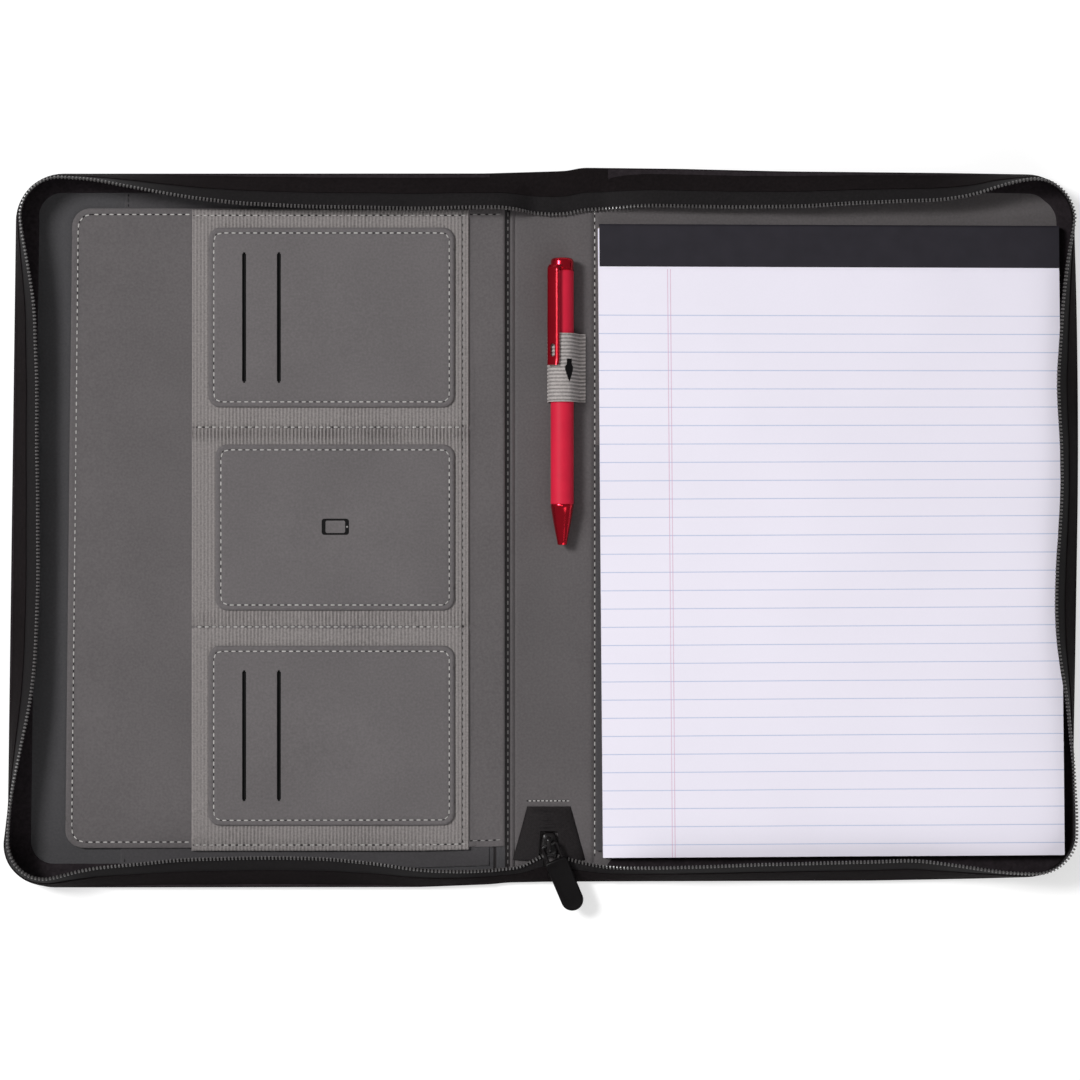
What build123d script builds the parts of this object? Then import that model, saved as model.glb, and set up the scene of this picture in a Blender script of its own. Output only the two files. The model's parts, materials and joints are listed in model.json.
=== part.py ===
"""Zippered padfolio lying open, in millimetres.

Two padded covers fold on a spine. A zip wall runs round three edges of each cover, a writing pad
sits on the right, an organiser on the left, and a pen rides in an elastic loop on the spine.
The origin is the middle of the spine's underside, +X towards the pad, +Y towards the head.
"""

import os
from math import cos, pi, radians, sin, sqrt

from build123d import *

# Writing pad, a letter pad with a taped head
pad_width = 215.9
pad_length = 298.5
card = 0.8
sheets = 4.0
leaf = 0.2
binding = 0.4
binding_depth = 20.0
perforation_gap = 1.2
staple_span = 12.0
staple_wire = 0.7
staple_inset = 45.0

# Room left round the pad inside the case
gutter_margin = 2.0
fore_margin = 11.0
head_margin = 23.5
foot_margin = 12.0

# Case
spine_width = 42.0
corner_radius = 22.0
edge_round = 1.4

# Layers of a cover, from the table up
skin = 0.8
board = 1.8
foam = 1.2
lining = 0.6
rim = 1.7
fold_wall = 1.6

# Clearances
fit_gap = 0.15
fold_gap = 0.3
lay_gap = 0.1
mitre_gap = 0.4
closing_gap = 1.6

# Zip wall, leaning in between its corners
tape = 1.2
tape_inset = 0.2
fore_lean_left = 10.5
fore_lean_right = 6.0
head_lean = 14.0
fold_lean = 17.5
foot_lean = 12.0
lean_run = 75.0
foot_setback = 16.0
end_spans = 10
corner_spans = 6
fore_spans = 12
tail_wall_height = 11.0
tail_wall_lean = 10.0

# Zip teeth
tooth_pitch = 1.7
tooth_reach = 1.6
tooth_bite = 1.1
tooth_width = 1.0
tooth_thick = 2.4

# Zip tail and slider
tail_setback = 37.0
tail_length = 23.5
tail_top_width = 20.0
tail_foot_width = 27.5
tail_thick = 1.0
tail_ramp = 2.5
tail_tooth_length = 3.4
tail_tooth_thick = 2.0
slider_setback = 19.5
slider_travel = 5.0
slider_length = 11.0
slider_throat = 6.2
slider_shoulder = 9.2
slider_plate = 1.3
slider_channel = 2.6
slider_lip = 0.9
slider_lip_height = 0.5
diamond_width = 2.8
diamond_length = 4.8
crown_length = 8.0
crown_width = 2.2
crown_bar = 1.0
pull_pin = 1.5
pull_angle = 20.0
link_width = 8.6
link_length = 13.0
link_eye_length = 5.4
link_eye_width = 5.6
grip_start = 7.5
grip_length = 25.5
grip_width = 10.5
grip_thick = 2.6
grip_start_round = 1.5
grip_end_round = 5.0
grip_edge_round = 0.5

# Pen and loop
pen_x = 6.2
pen_setback = 39.5
pen_length = 134.5
pen_radius = 5.4
pen_wall = 1.4
pen_split_drop = 57.5
cap_length = 6.0
cap_round = 1.6
nose_length = 19.0
nose_tip_radius = 1.4
spigot_length = 9.0
spigot_wall = 1.0
running_gap = 0.1
sleeve_wall = 0.9
sleeve_length = 34.0
refill_radius = 1.5
refill_head_room = 7.0
refill_tip_radius = 0.55
refill_tip_length = 9.0
refill_travel = 4.5
clip_length = 48.0
clip_width = 5.4
clip_thick = 0.9
clip_angle = 35.0
clip_window_length = 6.0
clip_window_width = 2.2
loop_thick = 1.0
loop_length = 33.0
loop_drop = 34.5
loop_left_flange = 1.5
loop_right_flange = 5.5
loop_gap = 0.3

# Organiser on the left cover
sleeve_sheet = 0.6
sleeve_mouth_setback = 51.0
sleeve_end_margin = 4.5
pocket_sheet = 0.8
pocket_mouth_setback = 26.0
pocket_fold_setback = 7.0
pocket_end_margin = 17.0
pocket_corner = 12.0
elastic_sheet = 1.0
elastic_width = 129.0
elastic_fold_setback = 17.5
patch_sheet = 1.3
patch_corner = 5.5
patch_side_margin = 6.0
patch_end_margin = 10.5
patch_gap = 16.5
phone_patch_height = 78.0
card_slit_length = 61.0
card_slit_width = 1.4
card_slit_first = 17.0
card_slit_step = 16.0

# Slot pocket under the pad
slot_sheet = 0.6
slot_depth = 195.0
slot_side_margin = 1.0

# Worked out from the sizes above
cover_width = gutter_margin + pad_width + fore_margin
case_height = foot_margin + pad_length + head_margin
cover_thick = skin + board + foam + lining
half_height = case_height / 2
hinge_x = spine_width / 2
fore_edge = hinge_x + cover_width
fold_radius = cover_thick + fold_gap
wall_reach = (spine_width - closing_gap) / 2
tape_height = wall_reach - tooth_reach
tail_top = half_height - tail_setback
slider_y = half_height - slider_setback
pen_z = cover_thick + loop_gap + pen_radius
pen_top = half_height - pen_setback
pen_split = pen_top - pen_split_drop
loop_top = pen_top - loop_drop
pen_nose_end = pen_top - pen_length
pen_axis = Axis((pen_x, 0, pen_z), (0, 1, 0))
pen_plane = Plane(origin=(pen_x, 0, pen_z), x_dir=(1, 0, 0), z_dir=(0, 0, 1))
loop_bore = pen_radius + loop_gap
up = Vector(0, 0, 1)

os.makedirs("parts", exist_ok=True)


def keep(piece, name):
    """Label a finished piece and write it to its own file."""
    piece.label = name
    export_step(piece, f"parts/{name}.step")


def cover_outline(inset, fold_inset):
    """Face of the right cover, rounded at the fore edge, drawn in by the insets."""
    left = hinge_x + fold_inset
    right = fore_edge - inset
    reach = half_height - inset
    with BuildSketch(mode=Mode.PRIVATE) as face:
        with Locations(((left + right) / 2, 0)):
            Rectangle(right - left, 2 * reach)
        fillet(face.vertices().group_by(Axis.X)[-1], corner_radius - inset)
    return face.sketch


def flat_piece(face, base, thickness):
    """Flat sheet with the outline of the face, from the base height up."""
    with BuildPart() as sheet:
        with BuildSketch(Plane.XY.offset(base)):
            add(face)
        extrude(amount=thickness)
    return sheet.part


# Covers: a fabric tray holds the board, the foam and the lining
layer_inset = rim + fit_gap
layer_fold_inset = fold_radius + fold_wall + fit_gap
layer_face = cover_outline(layer_inset, layer_fold_inset)
tray_face = cover_outline(rim, fold_radius + fold_wall)

with BuildPart() as right_cover_skin:
    add(cover_outline(0, 0))
    extrude(amount=cover_thick)
    with BuildSketch(Plane.XY.offset(skin)):
        add(tray_face)
    extrude(amount=cover_thick - skin, mode=Mode.SUBTRACT)
    with BuildSketch(Plane.XZ):
        with Locations((hinge_x, cover_thick)):
            Circle(fold_radius)
    extrude(amount=half_height, both=True, mode=Mode.SUBTRACT)
    underside = right_cover_skin.faces().sort_by(Axis.Z)[0]
    fillet(underside.edges().sort_by(Axis.X)[1:], edge_round)
keep(right_cover_skin.part, "right_cover_skin")

right_cover_board = flat_piece(layer_face, skin, board)
keep(right_cover_board, "right_cover_board")
right_cover_foam = flat_piece(layer_face, skin + board, foam)
keep(right_cover_foam, "right_cover_foam")
right_cover_lining = flat_piece(layer_face, skin + board + foam, lining)
keep(right_cover_lining, "right_cover_lining")

cover_layers = {
    "skin": right_cover_skin.part,
    "board": right_cover_board,
    "foam": right_cover_foam,
    "lining": right_cover_lining,
}
for layer_name, layer in cover_layers.items():
    with BuildPart() as left_layer:
        mirror(layer, about=Plane.YZ)
    keep(left_layer.part, f"left_cover_{layer_name}")

# Spine: a rounded edge turns inside the hollow edge of each cover
spine_recess = hinge_x - fold_wall
with BuildPart() as spine_skin:
    with BuildSketch(Plane.XZ):
        with BuildLine():
            Line((0, 0), (hinge_x, 0))
            CenterArc((hinge_x, cover_thick), cover_thick, -90, 90)
            Polyline(
                (hinge_x + cover_thick, cover_thick),
                (spine_recess, cover_thick),
                (spine_recess, skin),
                (0, skin),
                (0, 0),
            )
        make_face()
        mirror(about=Plane.YZ)
    extrude(amount=half_height, both=True)
keep(spine_skin.part, "spine_skin")

with BuildSketch() as spine_face:
    Rectangle(2 * (spine_recess - fit_gap), case_height - 2 * rim)
keep(flat_piece(spine_face.sketch, skin, board), "spine_board")
keep(flat_piece(spine_face.sketch, skin + board, foam), "spine_foam")
keep(flat_piece(spine_face.sketch, skin + board + foam, lining), "spine_lining")

# Route of a zip wall round a cover: foot run, corner, fore run, corner, head run
run_radius = corner_radius - tape_inset
end_run = cover_width - corner_radius
corner_run = run_radius * pi / 2
fore_run = case_height - 2 * corner_radius
wall_run = 2 * end_run + 2 * corner_run + fore_run
fore_start = end_run + corner_run
head_corner_start = fore_start + fore_run
head_start = head_corner_start + corner_run


def rise(distance):
    """Share of the full lean at a distance from a corner."""
    return sin(min(max(distance / lean_run, 0), 1) * pi / 2)


def wall_place(s, side):
    """Foot of the wall, its inward direction and its lean, at a distance along the route."""
    corner_x = fore_edge - corner_radius
    corner_y = half_height - corner_radius
    if s <= end_run:
        x, y, turn = hinge_x + s, -half_height + tape_inset, -90
        lean = foot_lean * rise(end_run - s)
    elif s <= fore_start:
        turn = -90 + 90 * (s - end_run) / corner_run
        x = corner_x + run_radius * cos(radians(turn))
        y = -corner_y + run_radius * sin(radians(turn))
        lean = 0
    elif s <= head_corner_start:
        x, y, turn = fore_edge - tape_inset, -corner_y + s - fore_start, 0
        most = fore_lean_right if side > 0 else fore_lean_left
        lean = most * sin(pi * (s - fore_start) / fore_run)
    elif s <= head_start:
        turn = 90 * (s - head_corner_start) / corner_run
        x = corner_x + run_radius * cos(radians(turn))
        y = corner_y + run_radius * sin(radians(turn))
        lean = 0
    else:
        x, y, turn = corner_x - (s - head_start), half_height - tape_inset, 90
        lean = head_lean * rise(s - head_start)
        lean += (fold_lean - head_lean) * (1 - rise(wall_run - s))
    inward = Vector(-side * cos(radians(turn)), -sin(radians(turn)), 0)
    return Vector(side * x, y, cover_thick), inward, lean


def wall_section(foot, inward, lean, height):
    """Cross-section of a wall that leans in, standing on the rim."""
    rise_to = sqrt(height**2 - lean**2)
    section_plane = Plane(origin=foot, x_dir=inward, z_dir=inward.cross(up))
    with BuildSketch(section_plane, mode=Mode.PRIVATE) as section:
        with BuildLine():
            Polyline((0, 0), (tape, 0), (lean + tape, rise_to), (lean, rise_to), close=True)
        make_face()
    return section.sketch


def spread(start, end, count):
    """Even places from the start to the end, both included."""
    return [start + (end - start) * i / count for i in range(count + 1)]


def wall_stations():
    """Places of the wall's cross-sections, closer together round the corners."""
    stops = spread(foot_setback, end_run, end_spans)
    stops += spread(end_run, fore_start, corner_spans)[1:]
    stops += spread(fore_start, head_corner_start, fore_spans)[1:]
    stops += spread(head_corner_start, head_start, corner_spans)[1:]
    stops += spread(head_start, wall_run, end_spans)[1:]
    return stops


def fold_mitre(side, tilt):
    """Plane by a fold line, tilted so that the walls on both sides of it meet when it is closed."""
    origin = (side * (hinge_x - tilt * mitre_gap), 0, cover_thick)
    return Plane(origin=origin, x_dir=(0, 1, 0), z_dir=(side, 0, tilt))


def zip_wall(side):
    """Gusset and tape round three edges of a cover."""
    with BuildPart() as wall:
        for stop in wall_stations():
            foot, inward, lean = wall_place(stop, side)
            add(wall_section(foot, inward, lean, tape_height))
        loft(ruled=True)
        split(bisect_by=fold_mitre(side, -1), keep=Keep.TOP)
    return wall.part


# One tooth: a wedge that bites over the edge of the tape and narrows to its tip
with BuildPart() as tooth:
    with BuildSketch(Plane.YZ):
        with BuildLine():
            Polyline(
                (-tooth_bite, -tooth_thick / 2),
                (tooth_reach, 0),
                (-tooth_bite, tooth_thick / 2),
                close=True,
            )
        make_face()
    extrude(amount=tooth_width / 2, both=True)


def tape_edge(s, side):
    """Middle of the tape's free edge and the direction in which it points."""
    foot, inward, lean = wall_place(s, side)
    rise_to = sqrt(tape_height**2 - lean**2)
    slope = (inward * lean + up * rise_to).normalized()
    return foot + inward * (lean + tape / 2) + up * rise_to, slope


def tooth_place(s, side):
    """Frame of the tooth at a distance along the route."""
    edge, slope = tape_edge(s, side)
    ahead, _ = tape_edge(s + tooth_pitch / 2, side)
    behind, _ = tape_edge(s - tooth_pitch / 2, side)
    along = (ahead - behind).normalized()
    return Plane(origin=edge, x_dir=along, z_dir=along.cross(slope))


def zip_chain(side):
    """Row of teeth along a cover's tape, as separate solids."""
    head_drop = sqrt(tape_height**2 - fold_lean**2) + tooth_reach + tooth_thick
    first = foot_setback + tooth_pitch
    count = int((wall_run - head_drop - first) / tooth_pitch)
    places = [tooth_place(first + i * tooth_pitch, side) for i in range(count)]
    return Compound(children=[tooth.part.moved(place.location) for place in places])


keep(zip_wall(1), "right_zip_wall")
keep(zip_wall(-1), "left_zip_wall")
keep(zip_chain(1), "right_zip_teeth")
keep(zip_chain(-1), "left_zip_teeth")

# Spine walls: the head one carries on the zip, the foot one lies low under the pull
head_foot = Vector(0, half_height - tape_inset, cover_thick)
with BuildPart() as spine_head_wall:
    add(wall_section(head_foot, Vector(0, -1, 0), fold_lean, tape_height))
    extrude(amount=hinge_x, dir=(1, 0, 0), both=True)
    split(bisect_by=fold_mitre(1, 1), keep=Keep.BOTTOM)
    split(bisect_by=fold_mitre(-1, 1), keep=Keep.BOTTOM)
keep(spine_head_wall.part, "spine_head_wall")

head_rise = sqrt(tape_height**2 - fold_lean**2)
head_slope = Vector(0, -fold_lean, head_rise).normalized()
head_edge = head_foot + Vector(0, -fold_lean - tape / 2, head_rise)
head_half = hinge_x - head_rise - tooth_reach - tooth_thick
head_count = int(2 * head_half / tooth_pitch)
head_places = [
    Plane(
        origin=head_edge + Vector((i - (head_count - 1) / 2) * tooth_pitch, 0, 0),
        x_dir=(1, 0, 0),
        z_dir=Vector(1, 0, 0).cross(head_slope),
    )
    for i in range(head_count)
]
spine_zip_teeth = Compound(children=[tooth.part.moved(p.location) for p in head_places])
keep(spine_zip_teeth, "spine_zip_teeth")

tail_wall_foot = Vector(0, -half_height + tape_inset, cover_thick)
with BuildPart() as spine_foot_wall:
    add(wall_section(tail_wall_foot, Vector(0, 1, 0), tail_wall_lean, tail_wall_height))
    extrude(amount=hinge_x, dir=(1, 0, 0), both=True)
    split(bisect_by=fold_mitre(1, 1), keep=Keep.BOTTOM)
    split(bisect_by=fold_mitre(-1, 1), keep=Keep.BOTTOM)
keep(spine_foot_wall.part, "spine_foot_wall")

# Zip tail: the two tape ends rise from their sewn edge and part round the slider's diamond
channel_base = cover_thick + fold_gap + slider_plate
tail_mid = channel_base + slider_channel / 2
tail_base = tail_mid - tail_thick / 2
diamond_mid = slider_y + slider_length / 2 - diamond_length / 2 - slider_lip_height
slot_end = diamond_mid - diamond_length / 2 - slider_travel - fold_gap
with BuildPart() as zip_tail:
    with BuildSketch(Plane.YZ):
        with BuildLine():
            Polyline(
                (-tail_top, cover_thick),
                (-tail_top - tail_ramp, tail_base),
                (-tail_top - tail_length, tail_base),
                (-tail_top - tail_length, tail_base + tail_thick),
                (-tail_top - tail_ramp, tail_base + tail_thick),
                (-tail_top, cover_thick + tail_thick),
                close=True,
            )
        make_face()
    extrude(amount=tail_foot_width / 2, both=True)
    with BuildSketch():
        with BuildLine():
            Polyline(
                (-tail_top_width / 2, -tail_top),
                (tail_top_width / 2, -tail_top),
                (tail_foot_width / 2, -tail_top - tail_length),
                (-tail_foot_width / 2, -tail_top - tail_length),
                close=True,
            )
        make_face()
    extrude(amount=tail_base + 2 * tail_thick, mode=Mode.INTERSECT)
    with BuildSketch():
        with BuildLine():
            Polyline(
                (-diamond_width / 2 - fold_gap, -slot_end),
                (diamond_width / 2 + fold_gap, -slot_end),
                (diamond_width + fold_gap, -tail_top - tail_length),
                (-diamond_width - fold_gap, -tail_top - tail_length),
                close=True,
            )
        make_face()
    extrude(amount=tail_base + 2 * tail_thick, mode=Mode.SUBTRACT)
keep(zip_tail.part, "zip_tail")

# Closed run of teeth on the tail, between its ramp and the slit
tail_run_start = tail_top + tail_ramp + tooth_width
tail_count = int((slot_end - fold_gap - tooth_width / 2 - tail_run_start) / tooth_pitch) + 1
with BuildPart() as tail_tooth:
    Box(tail_tooth_length, tooth_width, tail_tooth_thick)
tail_places = [Location((0, -tail_run_start - i * tooth_pitch, tail_mid)) for i in range(tail_count)]
tail_teeth = Compound(children=[tail_tooth.part.moved(place) for place in tail_places])
keep(tail_teeth, "tail_zip_teeth")

# Slider: two shield plates on a diamond, with lips that hold the tapes
slider_top = channel_base + slider_channel + slider_plate
slider_plane = Plane(origin=(0, -slider_y, channel_base))
with BuildSketch() as shield:
    with BuildLine():
        Polyline(
            (slider_throat / 2, slider_length / 2),
            (slider_shoulder / 2, -slider_length / 4),
            (slider_throat / 2, -slider_length / 2),
            (-slider_throat / 2, -slider_length / 2),
            (-slider_shoulder / 2, -slider_length / 4),
            (-slider_throat / 2, slider_length / 2),
            close=True,
        )
    make_face()
    fillet(shield.vertices(), slider_lip)
with BuildSketch() as lips:
    add(shield.sketch)
    offset(shield.sketch, amount=-slider_lip, mode=Mode.SUBTRACT)
    with Locations((0, slider_length / 2), (0, -slider_length / 2)):
        Rectangle(2 * slider_shoulder, slider_length / 2, mode=Mode.SUBTRACT)
with BuildPart() as slider_half:
    with BuildSketch(slider_plane):
        add(shield.sketch)
    extrude(amount=-slider_plate)
    with BuildSketch(slider_plane):
        add(lips.sketch)
    extrude(amount=slider_lip_height)
with BuildPart() as slider_body:
    add(slider_half.part)
    mirror(slider_half.part, about=Plane.XY.offset(tail_mid))
    with BuildSketch(Plane.XY.offset(channel_base)):
        with BuildLine():
            Polyline(
                (0, diamond_length / 2 - diamond_mid),
                (diamond_width / 2, -diamond_mid),
                (0, -diamond_length / 2 - diamond_mid),
                (-diamond_width / 2, -diamond_mid),
                close=True,
            )
        make_face()
    extrude(amount=slider_channel)
keep(slider_body.part, "slider_body")

# Crown: an arch along the slider that the pull's pin turns under
crown_rise = pull_pin + 2 * fold_gap + crown_bar
with BuildPart() as slider_crown:
    with BuildSketch(Plane(origin=(0, -slider_y, slider_top), x_dir=(0, 1, 0), z_dir=(1, 0, 0))) as arch:
        Rectangle(crown_length, crown_rise, align=(Align.CENTER, Align.MIN))
        fillet(arch.vertices().group_by(Axis.Y)[-1], crown_rise / 2)
        Rectangle(
            crown_length - 2 * crown_bar,
            crown_rise - crown_bar,
            align=(Align.CENTER, Align.MIN),
            mode=Mode.SUBTRACT,
        )
    extrude(amount=crown_width / 2, both=True)
keep(slider_crown.part, "slider_crown")

# Pull: a metal link whose rounded end is the pin, and a grip moulded on its other end
pin_z = slider_top + fold_gap + pull_pin / 2
pull_way = Vector(sin(radians(pull_angle)), -cos(radians(pull_angle)), 0)
pull_plane = Plane(origin=(0, -slider_y, pin_z), x_dir=pull_way, z_dir=up)
pull_side = Plane(origin=(0, -slider_y, pin_z), x_dir=pull_way, z_dir=pull_way.cross(up))
with BuildPart() as pull_link:
    with BuildSketch(pull_side):
        Circle(pull_pin / 2)
        Rectangle(link_length, pull_pin, align=(Align.MIN, Align.CENTER))
    extrude(amount=link_width / 2, both=True)
    with BuildSketch(pull_plane):
        with Locations((pull_pin / 2 + link_eye_length / 2, 0)):
            Rectangle(link_eye_length, link_eye_width)
    extrude(amount=pull_pin, both=True, mode=Mode.SUBTRACT)
keep(pull_link.part, "pull_link")

with BuildPart() as pull_grip:
    with BuildSketch(pull_plane) as grip_face:
        with Locations((grip_start + grip_length / 2, 0)):
            Rectangle(grip_length, grip_width)
        fillet(grip_face.vertices().group_by(Axis.X)[0], grip_start_round)
        fillet(grip_face.vertices().group_by(Axis.X)[-1], grip_end_round)
    extrude(amount=grip_thick / 2, both=True)
    chamfer(pull_grip.faces().filter_by(Axis.Z).edges(), grip_edge_round)
    add(pull_link.part, mode=Mode.SUBTRACT)
keep(pull_grip.part, "pull_grip")

# Pen loop: an elastic band arched over the pen and sewn down on both sides
with BuildPart() as pen_loop:
    with BuildSketch(Plane.XZ.offset(-loop_top)):
        with Locations((pen_x, pen_z)):
            Circle(loop_bore + loop_thick)
        with Locations((pen_x, cover_thick)):
            Rectangle(2 * (loop_bore + loop_thick), pen_z - cover_thick, align=(Align.CENTER, Align.MIN))
        with Locations((pen_x, pen_z)):
            Circle(loop_bore, mode=Mode.SUBTRACT)
        with Locations((pen_x, cover_thick)):
            Rectangle(2 * loop_bore, pen_z - cover_thick, align=(Align.CENTER, Align.MIN), mode=Mode.SUBTRACT)
        with Locations((pen_x - loop_bore, cover_thick)):
            Rectangle(loop_thick + loop_left_flange, loop_thick, align=(Align.MAX, Align.MIN))
        with Locations((pen_x + loop_bore, cover_thick)):
            Rectangle(loop_thick + loop_right_flange, loop_thick, align=(Align.MIN, Align.MIN))
    extrude(amount=loop_length)
    split(bisect_by=Plane.XY.offset(cover_thick), keep=Keep.TOP)
keep(pen_loop.part, "pen_loop")

# Pen upper half: barrel, cap, clip and twist sleeve
bore_radius = pen_radius - pen_wall
barrel_top = pen_top - cap_length


def turned(points):
    """Solid turned about the pen's axis from radius and height pairs."""
    with BuildPart() as piece:
        with BuildSketch(pen_plane):
            with BuildLine():
                Polyline(*points, close=True)
            make_face()
        revolve(axis=pen_axis)
    return piece.part


pen_upper_barrel = turned(
    [
        (bore_radius, pen_split),
        (pen_radius, pen_split),
        (pen_radius, barrel_top),
        (bore_radius, barrel_top),
    ]
)
keep(pen_upper_barrel, "pen_upper_barrel")

with BuildPart() as pen_cap:
    with BuildSketch(pen_plane):
        with BuildLine():
            Polyline(
                (0, barrel_top - cap_length),
                (bore_radius - running_gap, barrel_top - cap_length),
                (bore_radius - running_gap, barrel_top),
                (pen_radius, barrel_top),
                (pen_radius, pen_top),
                (0, pen_top),
                close=True,
            )
        make_face()
    revolve(axis=pen_axis)
    chamfer(pen_cap.faces().sort_by(Axis.Y)[-1].edges(), cap_round / 2, cap_round)
keep(pen_cap.part, "pen_cap")

clip_inside = loop_bore + loop_thick + loop_gap
clip_root = pen_top - cap_round - clip_thick
clip_end = clip_root - clip_length
clip_side = (cos(radians(clip_angle)), 0, sin(radians(clip_angle)))
clip_out = (-sin(radians(clip_angle)), 0, cos(radians(clip_angle)))
with BuildPart() as pen_clip:
    with BuildSketch(Plane(origin=(pen_x, 0, pen_z), x_dir=(0, 1, 0), z_dir=clip_side)):
        with BuildLine():
            Polyline(
                (clip_root, bore_radius),
                (clip_root, clip_inside + clip_thick),
                (clip_end, clip_inside + clip_thick),
                (clip_end, clip_inside),
                (clip_root - 2 * clip_thick, clip_inside),
                (clip_root - 2 * clip_thick, bore_radius),
                close=True,
            )
        make_face()
    extrude(amount=clip_width / 2, both=True)
    fillet(pen_clip.edges().filter_by(Axis((0, 0, 0), clip_out)).group_by(Axis.Y)[0], clip_width / 3)
    with BuildSketch(Plane(origin=(pen_x, 0, pen_z), x_dir=(0, 1, 0), z_dir=clip_out)):
        with Locations((clip_end + clip_width / 2 + clip_window_length, 0)):
            SlotOverall(clip_window_length, clip_window_width)
    extrude(amount=2 * clip_inside, mode=Mode.SUBTRACT)
    with BuildSketch(Plane(origin=(pen_x, 0, pen_z), x_dir=(1, 0, 0), z_dir=(0, 1, 0))):
        Circle(pen_radius + running_gap)
    extrude(amount=pen_top, mode=Mode.SUBTRACT)
keep(pen_clip.part, "pen_clip")

sleeve_radius = bore_radius - running_gap
sleeve_top = barrel_top - cap_length
keep(
    turned(
        [
            (sleeve_radius - sleeve_wall, sleeve_top - sleeve_length),
            (sleeve_radius, sleeve_top - sleeve_length),
            (sleeve_radius, sleeve_top),
            (sleeve_radius - sleeve_wall, sleeve_top),
        ]
    ),
    "pen_twist_sleeve",
)

# Pen lower half: barrel with a spigot that turns in the upper barrel, and the nose cone
lower_top = pen_split - running_gap
nose_top = pen_nose_end + nose_length
spigot_radius = bore_radius - running_gap
spigot_bore = spigot_radius - spigot_wall
keep(
    turned(
        [
            (spigot_bore, nose_top),
            (pen_radius, nose_top),
            (pen_radius, lower_top),
            (spigot_radius, lower_top),
            (spigot_radius, lower_top + spigot_length),
            (spigot_bore, lower_top + spigot_length),
        ]
    ),
    "pen_lower_barrel",
)

# Refill, drawn back inside the nose
refill_tip_end = pen_nose_end + refill_travel / 2
refill_foot = refill_tip_end + refill_tip_length
keep(
    turned(
        [
            (0, refill_foot),
            (refill_radius, refill_foot),
            (refill_radius, sleeve_top - refill_head_room),
            (0, sleeve_top - refill_head_room),
        ]
    ),
    "pen_refill_tube",
)
keep(
    turned(
        [
            (0, refill_tip_end),
            (refill_tip_radius / 2, refill_tip_end),
            (refill_tip_radius, refill_tip_end + refill_tip_radius),
            (refill_tip_radius, refill_foot),
            (0, refill_foot),
        ]
    ),
    "pen_refill_tip",
)

# Nose cone, bored in steps for the refill's travel
tip_bore = refill_tip_radius + 2 * running_gap
refill_bore = refill_radius + 2 * running_gap
refill_seat = refill_foot - refill_travel - fold_gap
with BuildPart() as pen_nose:
    with BuildSketch(pen_plane):
        with BuildLine():
            Polyline(
                (tip_bore, pen_nose_end),
                (nose_tip_radius, pen_nose_end),
                ((nose_tip_radius + 2 * pen_radius) / 3, pen_nose_end + nose_length / 2),
                (pen_radius, nose_top),
                (refill_bore, nose_top),
                (refill_bore, refill_seat),
                (tip_bore, refill_seat),
                (tip_bore, pen_nose_end),
            )
        make_face()
    revolve(axis=pen_axis)
keep(pen_nose.part, "pen_nose")

# Slot pocket on the right lining, over the pad's card
pad_left = hinge_x + gutter_margin
pad_right = pad_left + pad_width
pad_head = half_height - head_margin
pad_foot = -half_height + foot_margin
card_base = cover_thick + lay_gap + binding
slot_base = card_base + card + lay_gap
sheet_base = slot_base + slot_sheet + lay_gap
sheet_top = sheet_base + sheets


def pad_face(grow, head):
    """Face as wide as the pad, grown at its sides and foot, up to the given head line."""
    foot = pad_foot - grow
    with BuildSketch(mode=Mode.PRIVATE) as face:
        with Locations(((pad_left + pad_right) / 2, (foot + head) / 2)):
            Rectangle(pad_width + 2 * grow, head - foot)
    return face.sketch


slot_face = pad_face(slot_side_margin, pad_foot + slot_depth)
keep(flat_piece(slot_face, slot_base, slot_sheet), "pad_slot_pocket")

# Writing pad: staples run through the sheets and the card, under the binding tape
pad_block_head = pad_head - binding
staple_y = pad_head - binding_depth / 2
with BuildPart() as pad_staples:
    with BuildSketch(Plane.XZ.offset(-staple_y)):
        with Locations((pad_left + staple_inset, sheet_top), (pad_right - staple_inset, sheet_top)):
            Rectangle(staple_span, sheet_top - card_base, align=(Align.CENTER, Align.MAX))
        with Locations(
            (pad_left + staple_inset, sheet_top - staple_wire),
            (pad_right - staple_inset, sheet_top - staple_wire),
        ):
            Rectangle(
                staple_span - 2 * staple_wire,
                sheet_top - card_base,
                align=(Align.CENTER, Align.MAX),
                mode=Mode.SUBTRACT,
            )
    extrude(amount=staple_wire / 2, both=True)
keep(pad_staples.part, "pad_staples")

with BuildPart() as pad_card:
    add(flat_piece(pad_face(0, pad_block_head), card_base, card))
    add(pad_staples.part, mode=Mode.SUBTRACT)
keep(pad_card.part, "pad_card")

with BuildPart() as pad_sheets:
    add(flat_piece(pad_face(0, pad_block_head), sheet_base, sheets))
    add(pad_staples.part, mode=Mode.SUBTRACT)
keep(pad_sheets.part, "pad_sheets")

with BuildPart() as pad_binding:
    with BuildSketch(Plane.YZ.offset(pad_left)):
        with Locations((pad_head, card_base - binding)):
            Rectangle(binding_depth, sheet_top - card_base + 2 * binding, align=(Align.MAX, Align.MIN))
        with Locations((pad_block_head, card_base)):
            Rectangle(binding_depth, sheet_top - card_base, align=(Align.MAX, Align.MIN), mode=Mode.SUBTRACT)
    extrude(amount=pad_width)
keep(pad_binding.part, "pad_binding")

leaf_head = pad_head - binding_depth - perforation_gap
keep(flat_piece(pad_face(0, leaf_head), sheet_top + lay_gap, leaf), "pad_top_sheet")

# Organiser on the left cover: sleeve, document pocket, ribbed elastic and three patches
sleeve_base = cover_thick + lay_gap
pocket_base = sleeve_base + sleeve_sheet + lay_gap
elastic_base = pocket_base + pocket_sheet + lay_gap
patch_base = elastic_base + elastic_sheet + lay_gap
pocket_right = -hinge_x - pocket_fold_setback
pocket_height = case_height - 2 * pocket_end_margin

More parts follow.
